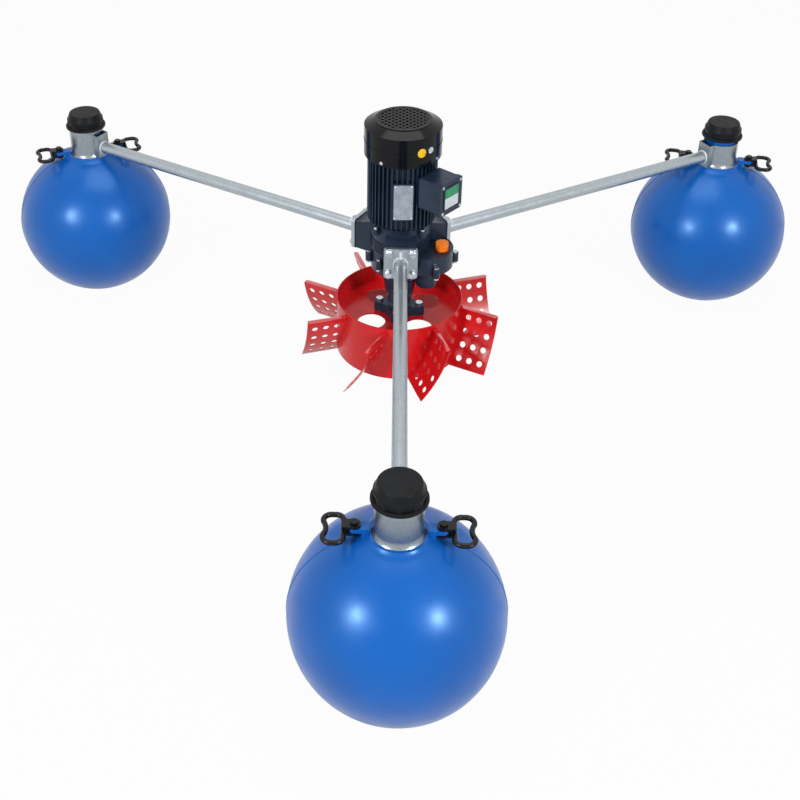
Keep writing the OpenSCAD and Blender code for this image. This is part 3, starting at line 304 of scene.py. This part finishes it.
# Ground gear and shaft steel with turning lines and a film of oil
GEAR_STEEL = Finish("ground_gear_steel", "#8f9398", "#b6babe", Grain.BRUSHED, (0.18, 0.34), metal=1.0,
                    tone_mm=14, grain_mm=0.6, depth_mm=0.02, strength=0.25)
# Nitrile rubber: dull black with no clear highlight
SEAL_RUBBER = Finish("nitrile_rubber", "#141414", "#202020", Grain.SATIN, (0.6, 0.75), tone_mm=12,
                     grain_mm=0.5, depth_mm=0.04, strength=0.35)
# Stacked core laminations under varnish: brown steel with fine edges and a dull shine
CORE_STEEL = Finish("core_laminations_varnished", "#5c4a3c", "#7a6350", Grain.BRUSHED, (0.35, 0.5),
                    metal=0.6, tone_mm=18, grain_mm=0.5, depth_mm=0.04, strength=0.4)
# Glass-filled nylon of the fan: grey black and dull
FAN_PLASTIC = Finish("fan_glass_filled_nylon", "#1c1d1f", "#2a2b2e", Grain.SATIN, (0.45, 0.6), tone_mm=25,
                     grain_mm=0.7, depth_mm=0.04, strength=0.3)
# Bare film of the stickers and the label: smooth and even
STICKER_YELLOW = Finish("sticker_yellow_film", "#e9b91a", "#f4c92c", Grain.SATIN, (0.3, 0.4), tone_mm=8,
                        grain_mm=0.6, depth_mm=0.01, strength=0.15)
STICKER_SILVER = Finish("sticker_silver_film", "#a9b2ba", "#d5dade", Grain.BRUSHED, (0.18, 0.3), metal=0.8,
                        tone_mm=4, grain_mm=0.4, depth_mm=0.01, strength=0.15)
LABEL_WHITE = Finish("label_white_film", "#cfd6da", "#dde3e6", Grain.SATIN, (0.3, 0.42), tone_mm=15,
                     grain_mm=0.6, depth_mm=0.01, strength=0.15)
LABEL_GREEN = Finish("label_green_film", "#2c8a5c", "#35a06c", Grain.SATIN, (0.3, 0.42), tone_mm=15,
                     grain_mm=0.6, depth_mm=0.01, strength=0.15)


class Paint:
    """Hands out each finish's material, made once."""

    made: dict[str, bpy.types.Material] = {}

    @classmethod
    def of(cls, finish: Finish) -> bpy.types.Material:
        """Give the material of a finish, making it at first use.

        Args:
            finish: The finish.

        Returns:
            Its material.
        """
        if finish.name not in cls.made:
            cls.made[finish.name] = finish.build()
        return cls.made[finish.name]

    @classmethod
    def nodes(cls, names: Iterable[str], finish: Finish) -> None:
        """Put a finish on solids of the frame.

        Args:
            names: The solids' names.
            finish: The finish to put on.
        """
        for name in names:
            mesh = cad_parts[name].data
            if not mesh.materials:
                mesh.materials.append(cls.of(finish))
            for i in range(len(mesh.materials)):
                mesh.materials[i] = cls.of(finish)
            LOG.info("finish %s on %s", finish.name, name)


class Bench:
    """Edit-mode modelling with operators, as by hand."""

    @staticmethod
    def blank(kind: str, name: str, **sizes: Any) -> bpy.types.Object:
        """Add a primitive with nothing else selected.

        Args:
            kind: The primitive: cube, cylinder, torus, circle or plane.
            name: Name of the new piece.
            sizes: The operator's own sizes.

        Returns:
            The new object, active and selected.
        """
        bpy.ops.object.select_all(action="DESELECT")
        getattr(bpy.ops.mesh, "primitive_%s_add" % kind)(**sizes)
        piece = bpy.context.active_object
        piece.name = name
        piece.data.name = name
        bpy.ops.object.transform_apply(location=True, rotation=True, scale=True)
        return piece

    @staticmethod
    def open(piece: bpy.types.Object, mode: str = "FACE") -> None:
        """Enter edit mode with nothing selected.

        Args:
            piece: The piece to edit.
            mode: VERT, EDGE or FACE.
        """
        bpy.context.view_layer.objects.active = piece
        bpy.ops.object.mode_set(mode="EDIT")
        bpy.ops.mesh.select_mode(type=mode)
        bpy.ops.mesh.select_all(action="DESELECT")

    @staticmethod
    def close() -> None:
        """Leave edit mode."""
        bpy.ops.object.mode_set(mode="OBJECT")

    @staticmethod
    def pick_faces(piece: bpy.types.Object, test: Callable[[Vector, Vector], bool]) -> None:
        """Select the faces that pass a test, and no others.

        Args:
            piece: The piece in edit mode.
            test: Takes a face's middle and normal.
        """
        bpy.ops.mesh.select_all(action="DESELECT")
        sheet = bmesh.from_edit_mesh(piece.data)
        for face in sheet.faces:
            face.select_set(test(face.calc_center_median(), face.normal))
        sheet.select_flush(False)
        bmesh.update_edit_mesh(piece.data)

    @staticmethod
    def pick_edges(piece: bpy.types.Object, test: Callable[[Vector, Vector], bool]) -> None:
        """Select the edges that pass a test, and no others.

        Args:
            piece: The piece in edit mode.
            test: Takes an edge's two ends.
        """
        bpy.ops.mesh.select_all(action="DESELECT")
        sheet = bmesh.from_edit_mesh(piece.data)
        for edge in sheet.edges:
            edge.select_set(test(edge.verts[0].co, edge.verts[1].co))
        sheet.select_flush(False)
        bmesh.update_edit_mesh(piece.data)

    @staticmethod
    def wrap(piece: bpy.types.Object, node: str, lift: float, thick: float) -> None:
        """Lay a flat sheet on a solid of the frame and give it thickness.

        Args:
            piece: The sheet.
            node: The solid that it lies on.
            lift: Stand-off from the surface in metres.
            thick: Thickness of the sheet in metres.
        """
        bpy.ops.object.select_all(action="DESELECT")
        piece.select_set(True)
        bpy.context.view_layer.objects.active = piece
        hug = piece.modifiers.new("hug", "SHRINKWRAP")
        hug.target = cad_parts[node]
        hug.offset = lift
        hug.wrap_mode = "ABOVE_SURFACE"
        bpy.ops.object.modifier_apply(modifier="hug")
        body = piece.modifiers.new("body", "SOLIDIFY")
        body.thickness = thick
        body.offset = 0.0
        bpy.ops.object.modifier_apply(modifier="body")

    @staticmethod
    def done(piece: bpy.types.Object, body: str, slot: str, finish: Finish, angle: float = SHARP) -> None:
        """Clean a piece, dress it and let it ride on its body.

        Args:
            piece: The finished piece.
            body: The body that carries it.
            slot: The record's material slot; not used.
            finish: The finish it gets.
            angle: Edges sharper than this stay sharp, in degrees.
        """
        bpy.ops.object.select_all(action="DESELECT")
        piece.select_set(True)
        Bench.open(piece)
        bpy.ops.mesh.select_all(action="SELECT")
        bpy.ops.mesh.normals_make_consistent(inside=False)
        Bench.close()
        bpy.ops.object.shade_smooth_by_angle(angle=math.radians(angle))
        piece.data.materials.clear()
        piece.data.materials.append(Paint.of(finish))
        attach(piece, body)
        LOG.info("piece %s on %s, %d faces", piece.name, body, len(piece.data.polygons))

    @staticmethod
    def set_down(piece: bpy.types.Object, places: Sequence[tuple[str, str, Matrix]], slot: str,
                 finish: Finish, angle: float = SHARP) -> None:
        """Put copies of a modelled piece in their places, each with its own mesh, and drop the pattern.

        Args:
            piece: The pattern, modelled at the origin.
            places: Name, body and place of each copy.
            slot: The record's material slot; not used.
            finish: The finish they get.
            angle: Edges sharper than this stay sharp, in degrees.
        """
        for name, body, place in places:
            copy = piece.copy()
            copy.data = piece.data.copy()
            copy.name = name
            copy.data.name = name
            bpy.context.scene.collection.objects.link(copy)
            copy.data.transform(place)
            Bench.done(copy, body, slot, finish, angle)
        bpy.data.objects.remove(piece)


@dataclass(frozen=True)
class Layout:
    """Places of the main parts, in millimetres."""

    axis_y: float = 269.5
    arm_z: float = 468.92
    arm_reach: float = 1078.0
    float_z: float = 217.92

    def machine(self, azimuth: float, reach: float, lift: float) -> Matrix:
        """Give a place on the machine.

        Args:
            azimuth: Direction from the axis in degrees.
            reach: Distance from the axis.
            lift: Height above the arms' level.

        Returns:
            A matrix whose x axis points away from the machine's axis.
        """
        foot = Matrix.Translation(Vector((0, self.axis_y, self.arm_z)) * MM)
        turn = Matrix.Rotation(math.radians(azimuth), 4, "Z")
        return foot @ turn @ Matrix.Translation(Vector((reach, 0, lift)) * MM)

    def neck(self, azimuth: float, turn: float, height: float) -> Matrix:
        """Give a place on a float's neck axis.

        Args:
            azimuth: Direction of the float's arm in degrees.
            turn: Turn of the float about its neck in degrees.
            height: Height above the floor.

        Returns:
            The place, turned with the float.
        """
        spot = self.machine(azimuth, self.arm_reach, 0).translation
        spot.z = height * MM
        return Matrix.Translation(spot) @ Matrix.Rotation(math.radians(turn), 4, "Z")


LAYOUT = Layout()
# Direction of each arm, and turn of each float about its neck, in degrees
ARMS = {"front": -90.0, "left": 150.0, "right": 30.0}
FLOAT_TURNS = {"front": 0.0, "left": 19.0, "right": -9.0}
FACE_OUT = Matrix.Rotation(math.radians(90), 4, "Y")


@dataclass
class FloatSet:
    """Three ball floats with caps, handles and their bolts, in millimetres."""

    ball_r: float = 225.0
    seam_r: float = 1.1
    seam_top: float = 205.0
    seam_bottom: float = -214.0

    def build(self) -> None:
        """Model the mould seams, which stop at the shoulder and at the foot."""
        ring = Bench.blank("torus", "seam", major_segments=180, minor_segments=8,
                           major_radius=self.ball_r * MM, minor_radius=self.seam_r * MM,
                           rotation=(math.radians(90), 0, 0))
        Bench.open(ring)
        for height, way in ((self.seam_top, 1), (self.seam_bottom, -1)):
            bpy.ops.mesh.select_all(action="SELECT")
            bpy.ops.mesh.bisect(plane_co=(0, 0, height * MM), plane_no=(0, 0, way),
                                use_fill=True, clear_outer=True)
        Bench.close()
        places = [("seam_" + side, "frame", LAYOUT.neck(az, FLOAT_TURNS[side], LAYOUT.float_z))
                  for side, az in ARMS.items()]
        Bench.set_down(ring, places, "float_blue", FLOAT_BLUE)

    def dress(self) -> None:
        """Put finishes on the solids."""
        Paint.nodes(["float_" + side for side in ARMS], FLOAT_BLUE)
        Paint.nodes(["float_cap_" + side for side in ARMS], CAP_CHARCOAL)
        Paint.nodes(["handle_%s_%s" % (side, end) for side in ARMS for end in "ab"], HANDLE_BLACK)
        Paint.nodes(["handle_bolts"], HANDLE_BLACK)


@dataclass
class ArmSet:
    """Three pipe arms with their end plates, collars, bolts and welds, in millimetres."""

    pipe_r: float = 16.75
    plate_face: float = 126.0
    nose_face: float = 1016.0
    bead_r: float = 3.0
    bead_out: float = 0.9
    bead_lift: float = 0.8
    bead_sharp: float = 60.0
    ripples: int = 32
    ripple_depth: float = 0.45
    ripple_smooth: float = 0.6
    collar_r: float = 49.5
    collar_top: float = 510.92
    band_h: float = 12.5
    band_wall: float = 3.0
    band_round: float = 0.6

    def build(self) -> None:
        """Model the weld beads and the upper collar bands."""
        self.weld_beads()
        self.upper_bands()

    def weld_beads(self) -> None:
        """Model a rippled bead and set it at both ends of each pipe."""
        bead = Bench.blank("torus", "bead", major_segments=64, minor_segments=10,
                           major_radius=(self.pipe_r + self.bead_out) * MM, minor_radius=self.bead_r * MM)
        Bench.open(bead)
        step = 2 * math.pi / self.ripples
        Bench.pick_faces(bead, lambda mid, out: int((math.atan2(mid.y, mid.x) + math.pi) / step) % 2 == 0)
        bpy.ops.transform.shrink_fatten(value=-self.ripple_depth * MM)
        bpy.ops.mesh.select_all(action="SELECT")
        bpy.ops.mesh.subdivide(number_cuts=1, smoothness=self.ripple_smooth)
        Bench.close()
        places = []
        for side, az in ARMS.items():
            at_plate = LAYOUT.machine(az, self.plate_face + self.bead_lift, 0) @ FACE_OUT
            at_nose = LAYOUT.machine(az, self.nose_face - self.bead_lift, 0) @ FACE_OUT
            places.append(("weld_plate_" + side, "frame", at_plate))
            places.append(("weld_nose_" + side, "frame", at_nose))
        Bench.set_down(bead, places, "galvanised", WELD_WHITE, self.bead_sharp)

    def upper_bands(self) -> None:
        """Model the upper bands of the two collars that reach up to their caps; the right one sits lower."""
        band = Bench.blank("cylinder", "band", vertices=96, radius=self.collar_r * MM, depth=self.band_h * MM)
        Bench.open(band)
        Bench.pick_faces(band, lambda mid, out: abs(out.z) > FACING)
        bpy.ops.mesh.inset(thickness=self.band_wall * MM)
        bpy.ops.mesh.bridge_edge_loops()
        top = self.band_h / 2 * MM
        Bench.pick_edges(band, lambda a, b: min(a.z, b.z) > top - CLOSE)
        bpy.ops.mesh.bevel(offset=self.band_round * MM, segments=2)
        Bench.close()
        places = [("collar_band_" + side, "frame", LAYOUT.neck(az, 0, self.collar_top + self.band_h / 2))
                  for side, az in ARMS.items() if side != "right"]
        # the collar bands get the darker copy of the zinc: painted shade
        Bench.set_down(band, places, "galvanised", COLLAR_ZINC_SHADED)

    def dress(self) -> None:
        """Put finishes on the solids."""
        Paint.nodes(["arm_" + side for side in ARMS], GALVANISED)
        # the collars get a darker copy of the galvanised zinc: painted shade
        Paint.nodes(["float_collar_" + side for side in ARMS], COLLAR_ZINC_SHADED)
        Paint.nodes(["arm_bolts"], ZINC)


@dataclass
class MotorUnit:
    """The motor with its fan cover, terminal box and name plate, in millimetres."""

    box_azimuth: float = -40.0
    lid_face: float = 160.0
    lid_rim: float = 158.0
    box_mid: float = 184.0
    plate_azimuth: float = -88.0
    plate_mid: float = 157.5
    rivet_r: float = 1.9
    rivet_h: float = 1.2
    rivet_reach: float = 91.4
    rivet_half: tuple[float, float] = (20.5, 44.5)
    rivet_dome: tuple[tuple[float, float], ...] = ((0.7, 0.45), (0.6, 0.15))
    screw_r: float = 4.0
    screw_h: float = 2.4
    screw_half: tuple[float, float] = (34.0, 36.0)
    screw_round: float = 0.9
    screw_rim: float = 1.3
    screw_socket: float = 1.0
    label_w: float = 52.0
    label_thick: float = 0.5
    label_edge: float = 0.8
    label_swell: float = 0.12
    sticker_reach: float = 102.0
    sticker_lift: float = 0.25
    sticker_thick: float = 0.3

    def build(self) -> None:
        """Model the small fittings on the name plate, the lid and the fan cover."""
        self.rivets()
        self.lid_screws()
        self.lid_label()
        self.stickers()

    def corners(self, name: str, azimuth: float, reach: float, mid: float,
                half: tuple[float, float]) -> list[tuple[str, str, Matrix]]:
        """Give the places of four fasteners at a plate's corners.

        Args:
            name: What the fasteners' names start with.
            azimuth: Direction of the plate from the axis in degrees.
            reach: Distance of the fasteners from the axis.
            mid: Height of the plate's middle above the arms' level.
            half: Half the distance between the fasteners, across and up.

        Returns:
            Name, body and place of each fastener.
        """
        places = []
        for row, word in ((-1, "low"), (1, "high")):
            for col, side in ((-1, "left"), (1, "right")):
                place = LAYOUT.machine(azimuth, reach, mid + row * half[1])
                shift = Matrix.Translation(Vector((0, col * half[0], 0)) * MM)
                places.append(("%s_%s_%s" % (name, word, side), "frame", place @ shift @ FACE_OUT))
        return places

    def rivets(self) -> None:
        """Model four domed rivets at the name plate's corners."""
        rivet = Bench.blank("cylinder", "rivet", vertices=20, radius=self.rivet_r * MM,
                            depth=self.rivet_h * MM)
        Bench.open(rivet)
        Bench.pick_faces(rivet, lambda mid, out: out.z > FACING)
        for inwards, rise in self.rivet_dome:
            bpy.ops.mesh.inset(thickness=inwards * MM)
            bpy.ops.transform.translate(value=(0, 0, rise * MM))
        Bench.close()
        places = self.corners("plate_rivet", self.plate_azimuth, self.rivet_reach, self.plate_mid,
                              self.rivet_half)
        Bench.set_down(rivet, places, "zinc", ZINC)

    def lid_screws(self) -> None:
        """Model four pan-head screws in the lid's corners."""
        screw = Bench.blank("cylinder", "lid_screw", vertices=24, radius=self.screw_r * MM,
                            depth=self.screw_h * MM)
        top = self.screw_h / 2 * MM
        Bench.open(screw)
        Bench.pick_edges(screw, lambda a, b: min(a.z, b.z) > top - CLOSE)
        bpy.ops.mesh.bevel(offset=self.screw_round * MM, segments=3)
        Bench.pick_faces(screw, lambda mid, out: mid.z > top - CLOSE and out.z > FLAT)
        bpy.ops.mesh.inset(thickness=self.screw_rim * MM)
        bpy.ops.mesh.extrude_region_move(TRANSFORM_OT_translate={"value": (0, 0, -self.screw_socket * MM)})
        Bench.close()
        places = self.corners("lid_screw", self.box_azimuth, self.lid_rim + self.screw_h / 2, self.box_mid,
                              self.screw_half)
        Bench.set_down(screw, places, "zinc", ZINC)

    def lid_label(self) -> None:
        """Model the bare two-tone label in the lid's frame."""
        for name, low, high, finish in (("lid_label_lower", -27.0, 2.0, LABEL_WHITE),
                                        ("lid_label_upper", 2.6, 27.0, LABEL_GREEN)):
            sheet = Bench.blank("cube", name, size=1.0,
                                scale=(self.label_thick * MM, self.label_w * MM, (high - low) * MM))
            Bench.open(sheet)
            Bench.pick_faces(sheet, lambda mid, out: out.x > FACING)
            bpy.ops.mesh.inset(thickness=self.label_edge * MM)
            bpy.ops.transform.translate(value=(self.label_swell * MM, 0, 0))
            Bench.close()
            middle = self.box_mid + (low + high) / 2
            sheet.data.transform(LAYOUT.machine(self.box_azimuth, self.lid_face, middle))
            Bench.done(sheet, "frame", "name_metal", finish)

    def stickers(self) -> None:
        """Model two bare round stickers that hug the fan cover's wall."""
        for name, azimuth, lift, size, finish in (("sticker_large", -62.0, 294.0, 12.0, STICKER_YELLOW),
                                                  ("sticker_small", -46.0, 295.0, 8.5, STICKER_SILVER)):
            disc = Bench.blank("circle", name, vertices=40, radius=size * MM, fill_type="TRIFAN",
                               rotation=(0, math.radians(90), 0))
            Bench.open(disc)
            bpy.ops.mesh.select_all(action="SELECT")
            bpy.ops.mesh.subdivide(number_cuts=3)
            Bench.close()
            disc.data.transform(LAYOUT.machine(azimuth, self.sticker_reach, lift))
            Bench.wrap(disc, "fan_cover", self.sticker_lift * MM, self.sticker_thick * MM)
            Bench.done(disc, "frame", "name_metal", finish)

    def dress(self) -> None:
        """Put finishes on the solids."""
        Paint.nodes(["motor_frame", "upper_end_shield", "lower_end_shield"], MOTOR_ENAMEL)
        Paint.nodes(["terminal_box", "terminal_box_lid"], MOTOR_ENAMEL)
        Paint.nodes(["fan_cover"], COVER_ENAMEL)
        Paint.nodes(["cover_screws"], ZINC)
        Paint.nodes(["cable_gland"], HANDLE_BLACK)
        Paint.nodes(["name_plate"], PLATE_METAL)
        Paint.nodes(["stator_core", "rotor_core"], CORE_STEEL)
        Paint.nodes(["motor_bearings", "motor_shaft"], GEAR_STEEL)
        Paint.nodes(["cooling_fan"], FAN_PLASTIC)


@dataclass
class GearUnit:
    """The gear case with its cover, gears, shafts and oil cap, in millimetres."""

    oil_azimuth: float = -23.0
    oil_reach: float = 116.0
    roof: float = -3.0
    gasket_r: float = 20.5
    gasket_h: float = 2.4
    gasket_wall: float = 3.6
    gasket_round: float = 0.6

    def build(self) -> None:
        """Model the gasket, a ring around the foot of the oil cap."""
        gasket = Bench.blank("cylinder", "oil_gasket", vertices=48, radius=self.gasket_r * MM,
                             depth=self.gasket_h * MM)
        Bench.open(gasket)
        Bench.pick_faces(gasket, lambda mid, out: abs(out.z) > FACING)
        bpy.ops.mesh.inset(thickness=self.gasket_wall * MM)
        bpy.ops.mesh.bridge_edge_loops()
        middle = (self.gasket_r - self.gasket_wall / 2) * MM
        Bench.pick_edges(gasket, lambda a, b: abs(a.z - b.z) < CLOSE
                         and min(a.xy.length, b.xy.length) > middle)
        bpy.ops.mesh.bevel(offset=self.gasket_round * MM, segments=2)
        Bench.close()
        foot = self.roof + self.gasket_h / 2
        gasket.data.transform(LAYOUT.machine(self.oil_azimuth, self.oil_reach, foot))
        Bench.done(gasket, "frame", "seal_rubber", GASKET_RED)

    def dress(self) -> None:
        """Put finishes on the solids."""
        Paint.nodes(["gear_case", "gear_case_cover"], CASE_ENAMEL)
        Paint.nodes(["gear_case_bolts", "oil_drain_plug"], ZINC)
        Paint.nodes(["shaft_seals"], SEAL_RUBBER)
        Paint.nodes(["countershaft_bearings", "output_bearings"], GEAR_STEEL)
        Paint.nodes(["countershaft", "counter_gear", "output_gear", "output_shaft"], GEAR_STEEL)
        Paint.nodes(["oil_filler_cap"], OIL_ORANGE)


@dataclass
class Impeller:
    """The red drum with its floor, hub and eight blades, in millimetres."""

    blades: int = 8
    first_blade: float = -10.0
    drum_r: float = 169.0
    sweep: float = 17.0
    blade_top: float = -186.0
    lip_size: tuple[float, float, float] = (101.0, 12.6, 2.6)
    lip_corner: float = 5.0
    lip_round: float = 0.7
    lip_mid: tuple[float, float, float] = (54.5, -4.7, 0.7)

    def build(self) -> None:
        """Model the folded lip along each blade's top edge."""
        lip = Bench.blank("cube", "blade_lip", size=1.0, scale=Vector(self.lip_size) * MM)
        tip = self.lip_size[0] / 2 * MM
        top = self.lip_size[2] / 2 * MM
        Bench.open(lip, "EDGE")
        Bench.pick_edges(lip, lambda a, b: min(a.x, b.x) > tip - CLOSE and abs(a.z - b.z) > top)
        bpy.ops.mesh.bevel(offset=self.lip_corner * MM, segments=5)
        Bench.pick_edges(lip, lambda a, b: min(a.z, b.z) > top - CLOSE)
        bpy.ops.mesh.bevel(offset=self.lip_round * MM, segments=2)
        Bench.close()
        places = []
        along = Matrix.Rotation(math.radians(-self.sweep), 4, "Z")
        shift = Matrix.Translation(Vector(self.lip_mid) * MM)
        for k in range(self.blades):
            root = LAYOUT.machine(self.first_blade + 360 / self.blades * k, self.drum_r, self.blade_top)
            places.append(("blade_lip_%d" % (k + 1), "impeller", root @ along @ shift))
        # the lips get the lighter, glossier copy of the red coat: a painted reflection strip
        Bench.set_down(lip, places, "impeller_red", POWDER_RED_LIP_SHEEN)

    def dress(self) -> None:
        """Put finishes on the solids."""
        Paint.nodes(["drum_wall", "drum_floor"], POWDER_RED)
        Paint.nodes(["blade_%d" % (k + 1) for k in range(self.blades)], POWDER_RED)
        Paint.nodes(["impeller_hub"], CASE_ENAMEL)
        Paint.nodes(["hub_bolts"], ZINC)


@dataclass(frozen=True)
class SoftBox:
    """A square soft box, in metres and watts."""

    name: str
    spot: tuple[float, float, float]
    aim: tuple[float, float, float]
    size: float
    power: float

    def hang(self) -> None:
        """Hang the box in its spot, facing its aim."""
        data = bpy.data.lights.new(self.name, "AREA")
        data.size = self.size
        data.energy = self.power
        lamp = bpy.data.objects.new(self.name, data)
        bpy.context.scene.collection.objects.link(lamp)
        lamp.location = self.spot
        lamp.rotation_euler = (Vector(self.aim) - Vector(self.spot)).to_track_quat("-Z", "Y").to_euler()


SOFT_BOXES = (
    SoftBox("soft_box_left", (-3.1, -3.5, 2.6), (-0.1, 0.0, 0.3), 0.85, 140),
    SoftBox("soft_box_right", (3.1, -3.5, 2.6), (0.1, 0.0, 0.3), 0.85, 130),
    SoftBox("soft_box_top", (0.0, 0.6, 4.2), (0.0, 0.2, 0.3), 2.6, 55),
)


@dataclass
class Studio:
    """White floor, even room light, soft boxes and the camera."""

    picture_px: float = 800.0
    focal_px: float = 1323.9
    middle_px: tuple[float, float] = (350.0, 300.0)
    sensor_mm: float = 36.0
    yaw: float = -2.01
    pitch: float = 32.93
    roll: float = 0.0
    eye: tuple[float, float, float] = (-27.7, -2729.0, 2219.5)
    far_m: float = 100.0
    floor_m: float = 30.0
    white: tuple[float, float, float, float] = (1.0, 1.0, 1.0, 1.0)
    paper: tuple[float, float, float, float] = (0.55, 0.55, 0.55, 1.0)
    glow_share: float = 0.96
    room_tone: tuple[float, float, float, float] = (0.95, 0.97, 1.0, 1.0)
    room_light: float = 0.3

    def background(self, tree: bpy.types.NodeTree) -> bpy.types.NodeSocket:
        """Wire the share of a ray that sees the background: camera, glossy and transmission rays.

        Args:
            tree: The node tree of the floor or the world.

        Returns:
            An output of 0 or 1.
        """
        path = add_node(tree, "ShaderNodeLightPath")
        seen = path.outputs["Is Camera Ray"]
        for ray in ("Is Glossy Ray", "Is Transmission Ray"):
            wired = {0: seen, 1: path.outputs[ray]}
            seen = add_node(tree, "ShaderNodeMath", wired, operation="MAXIMUM").outputs[0]
        return seen

    def floor(self) -> None:
        """Lay a white floor that keeps a soft shadow."""
        floor = Bench.blank("plane", "studio_floor", size=self.floor_m)
        material = bpy.data.materials.new("studio_paper_white")
        material.use_nodes = True
        tree = material.node_tree
        tree.nodes.clear()
        paper = add_node(tree, "ShaderNodeBsdfDiffuse", {"Color": self.paper}).outputs[0]
        glow = add_node(tree, "ShaderNodeEmission", {"Color": self.white}).outputs[0]
        wired = {0: self.background(tree), 1: self.glow_share}
        share = add_node(tree, "ShaderNodeMath", wired, operation="MULTIPLY").outputs[0]
        mix = add_node(tree, "ShaderNodeMixShader", {0: share, 1: paper, 2: glow}).outputs[0]
        add_node(tree, "ShaderNodeOutputMaterial", {"Surface": mix})
        floor.data.materials.append(material)

    def world(self) -> None:
        """Fill the room with even light and a white background."""
        world = bpy.data.worlds.new("studio_room")
        bpy.context.scene.world = world
        world.use_nodes = True
        tree = world.node_tree
        tree.nodes.clear()
        wired = {"Color": self.room_tone, "Strength": self.room_light}
        fill = add_node(tree, "ShaderNodeBackground", wired).outputs[0]
        white = add_node(tree, "ShaderNodeBackground", {"Color": self.white, "Strength": 1.0}).outputs[0]
        wired = {0: self.background(tree), 1: fill, 2: white}
        mix = add_node(tree, "ShaderNodeMixShader", wired).outputs[0]
        add_node(tree, "ShaderNodeOutputWorld", {"Surface": mix})

    def camera(self) -> None:
        """Set the camera at the photograph's place and frame."""
        yaw, pitch, roll = (math.radians(a) for a in (self.yaw, self.pitch, self.roll))
        ahead = Vector((math.sin(yaw) * math.cos(pitch), math.cos(yaw) * math.cos(pitch), -math.sin(pitch)))
        right = Vector((math.cos(yaw), -math.sin(yaw), 0))
        up = right.cross(ahead)
        side = right * math.cos(roll) + up * math.sin(roll)
        top = up * math.cos(roll) - right * math.sin(roll)
        half_px = self.picture_px / 2
        data = bpy.data.cameras.new("photo_camera")
        data.sensor_width = self.sensor_mm
        data.lens = self.focal_px / self.picture_px * self.sensor_mm
        data.shift_x = (half_px - self.middle_px[0]) / self.picture_px
        data.shift_y = (self.middle_px[1] - half_px) / self.picture_px
        data.clip_end = self.far_m
        camera = bpy.data.objects.new("photo_camera", data)
        bpy.context.scene.collection.objects.link(camera)
        turn = Matrix((side, top, -ahead)).transposed()
        camera.matrix_world = Matrix.Translation(Vector(self.eye) * MM) @ turn.to_4x4()
        bpy.context.scene.camera = camera

    def build(self) -> None:
        """Set up the whole studio."""
        bpy.context.scene.view_settings.view_transform = "Standard"
        self.floor()
        self.world()
        for box in SOFT_BOXES:
            box.hang()
        self.camera()


def main() -> None:
    """Build every sub-assembly in order."""
    logging.basicConfig(level=logging.INFO, format="%(name)s %(message)s")
    for unit in (FloatSet(), ArmSet(), MotorUnit(), GearUnit(), Impeller()):
        unit.build()
        unit.dress()
        LOG.info("done: %s", type(unit).__name__)
    Studio().build()


if __name__ == "__main__":
    main()
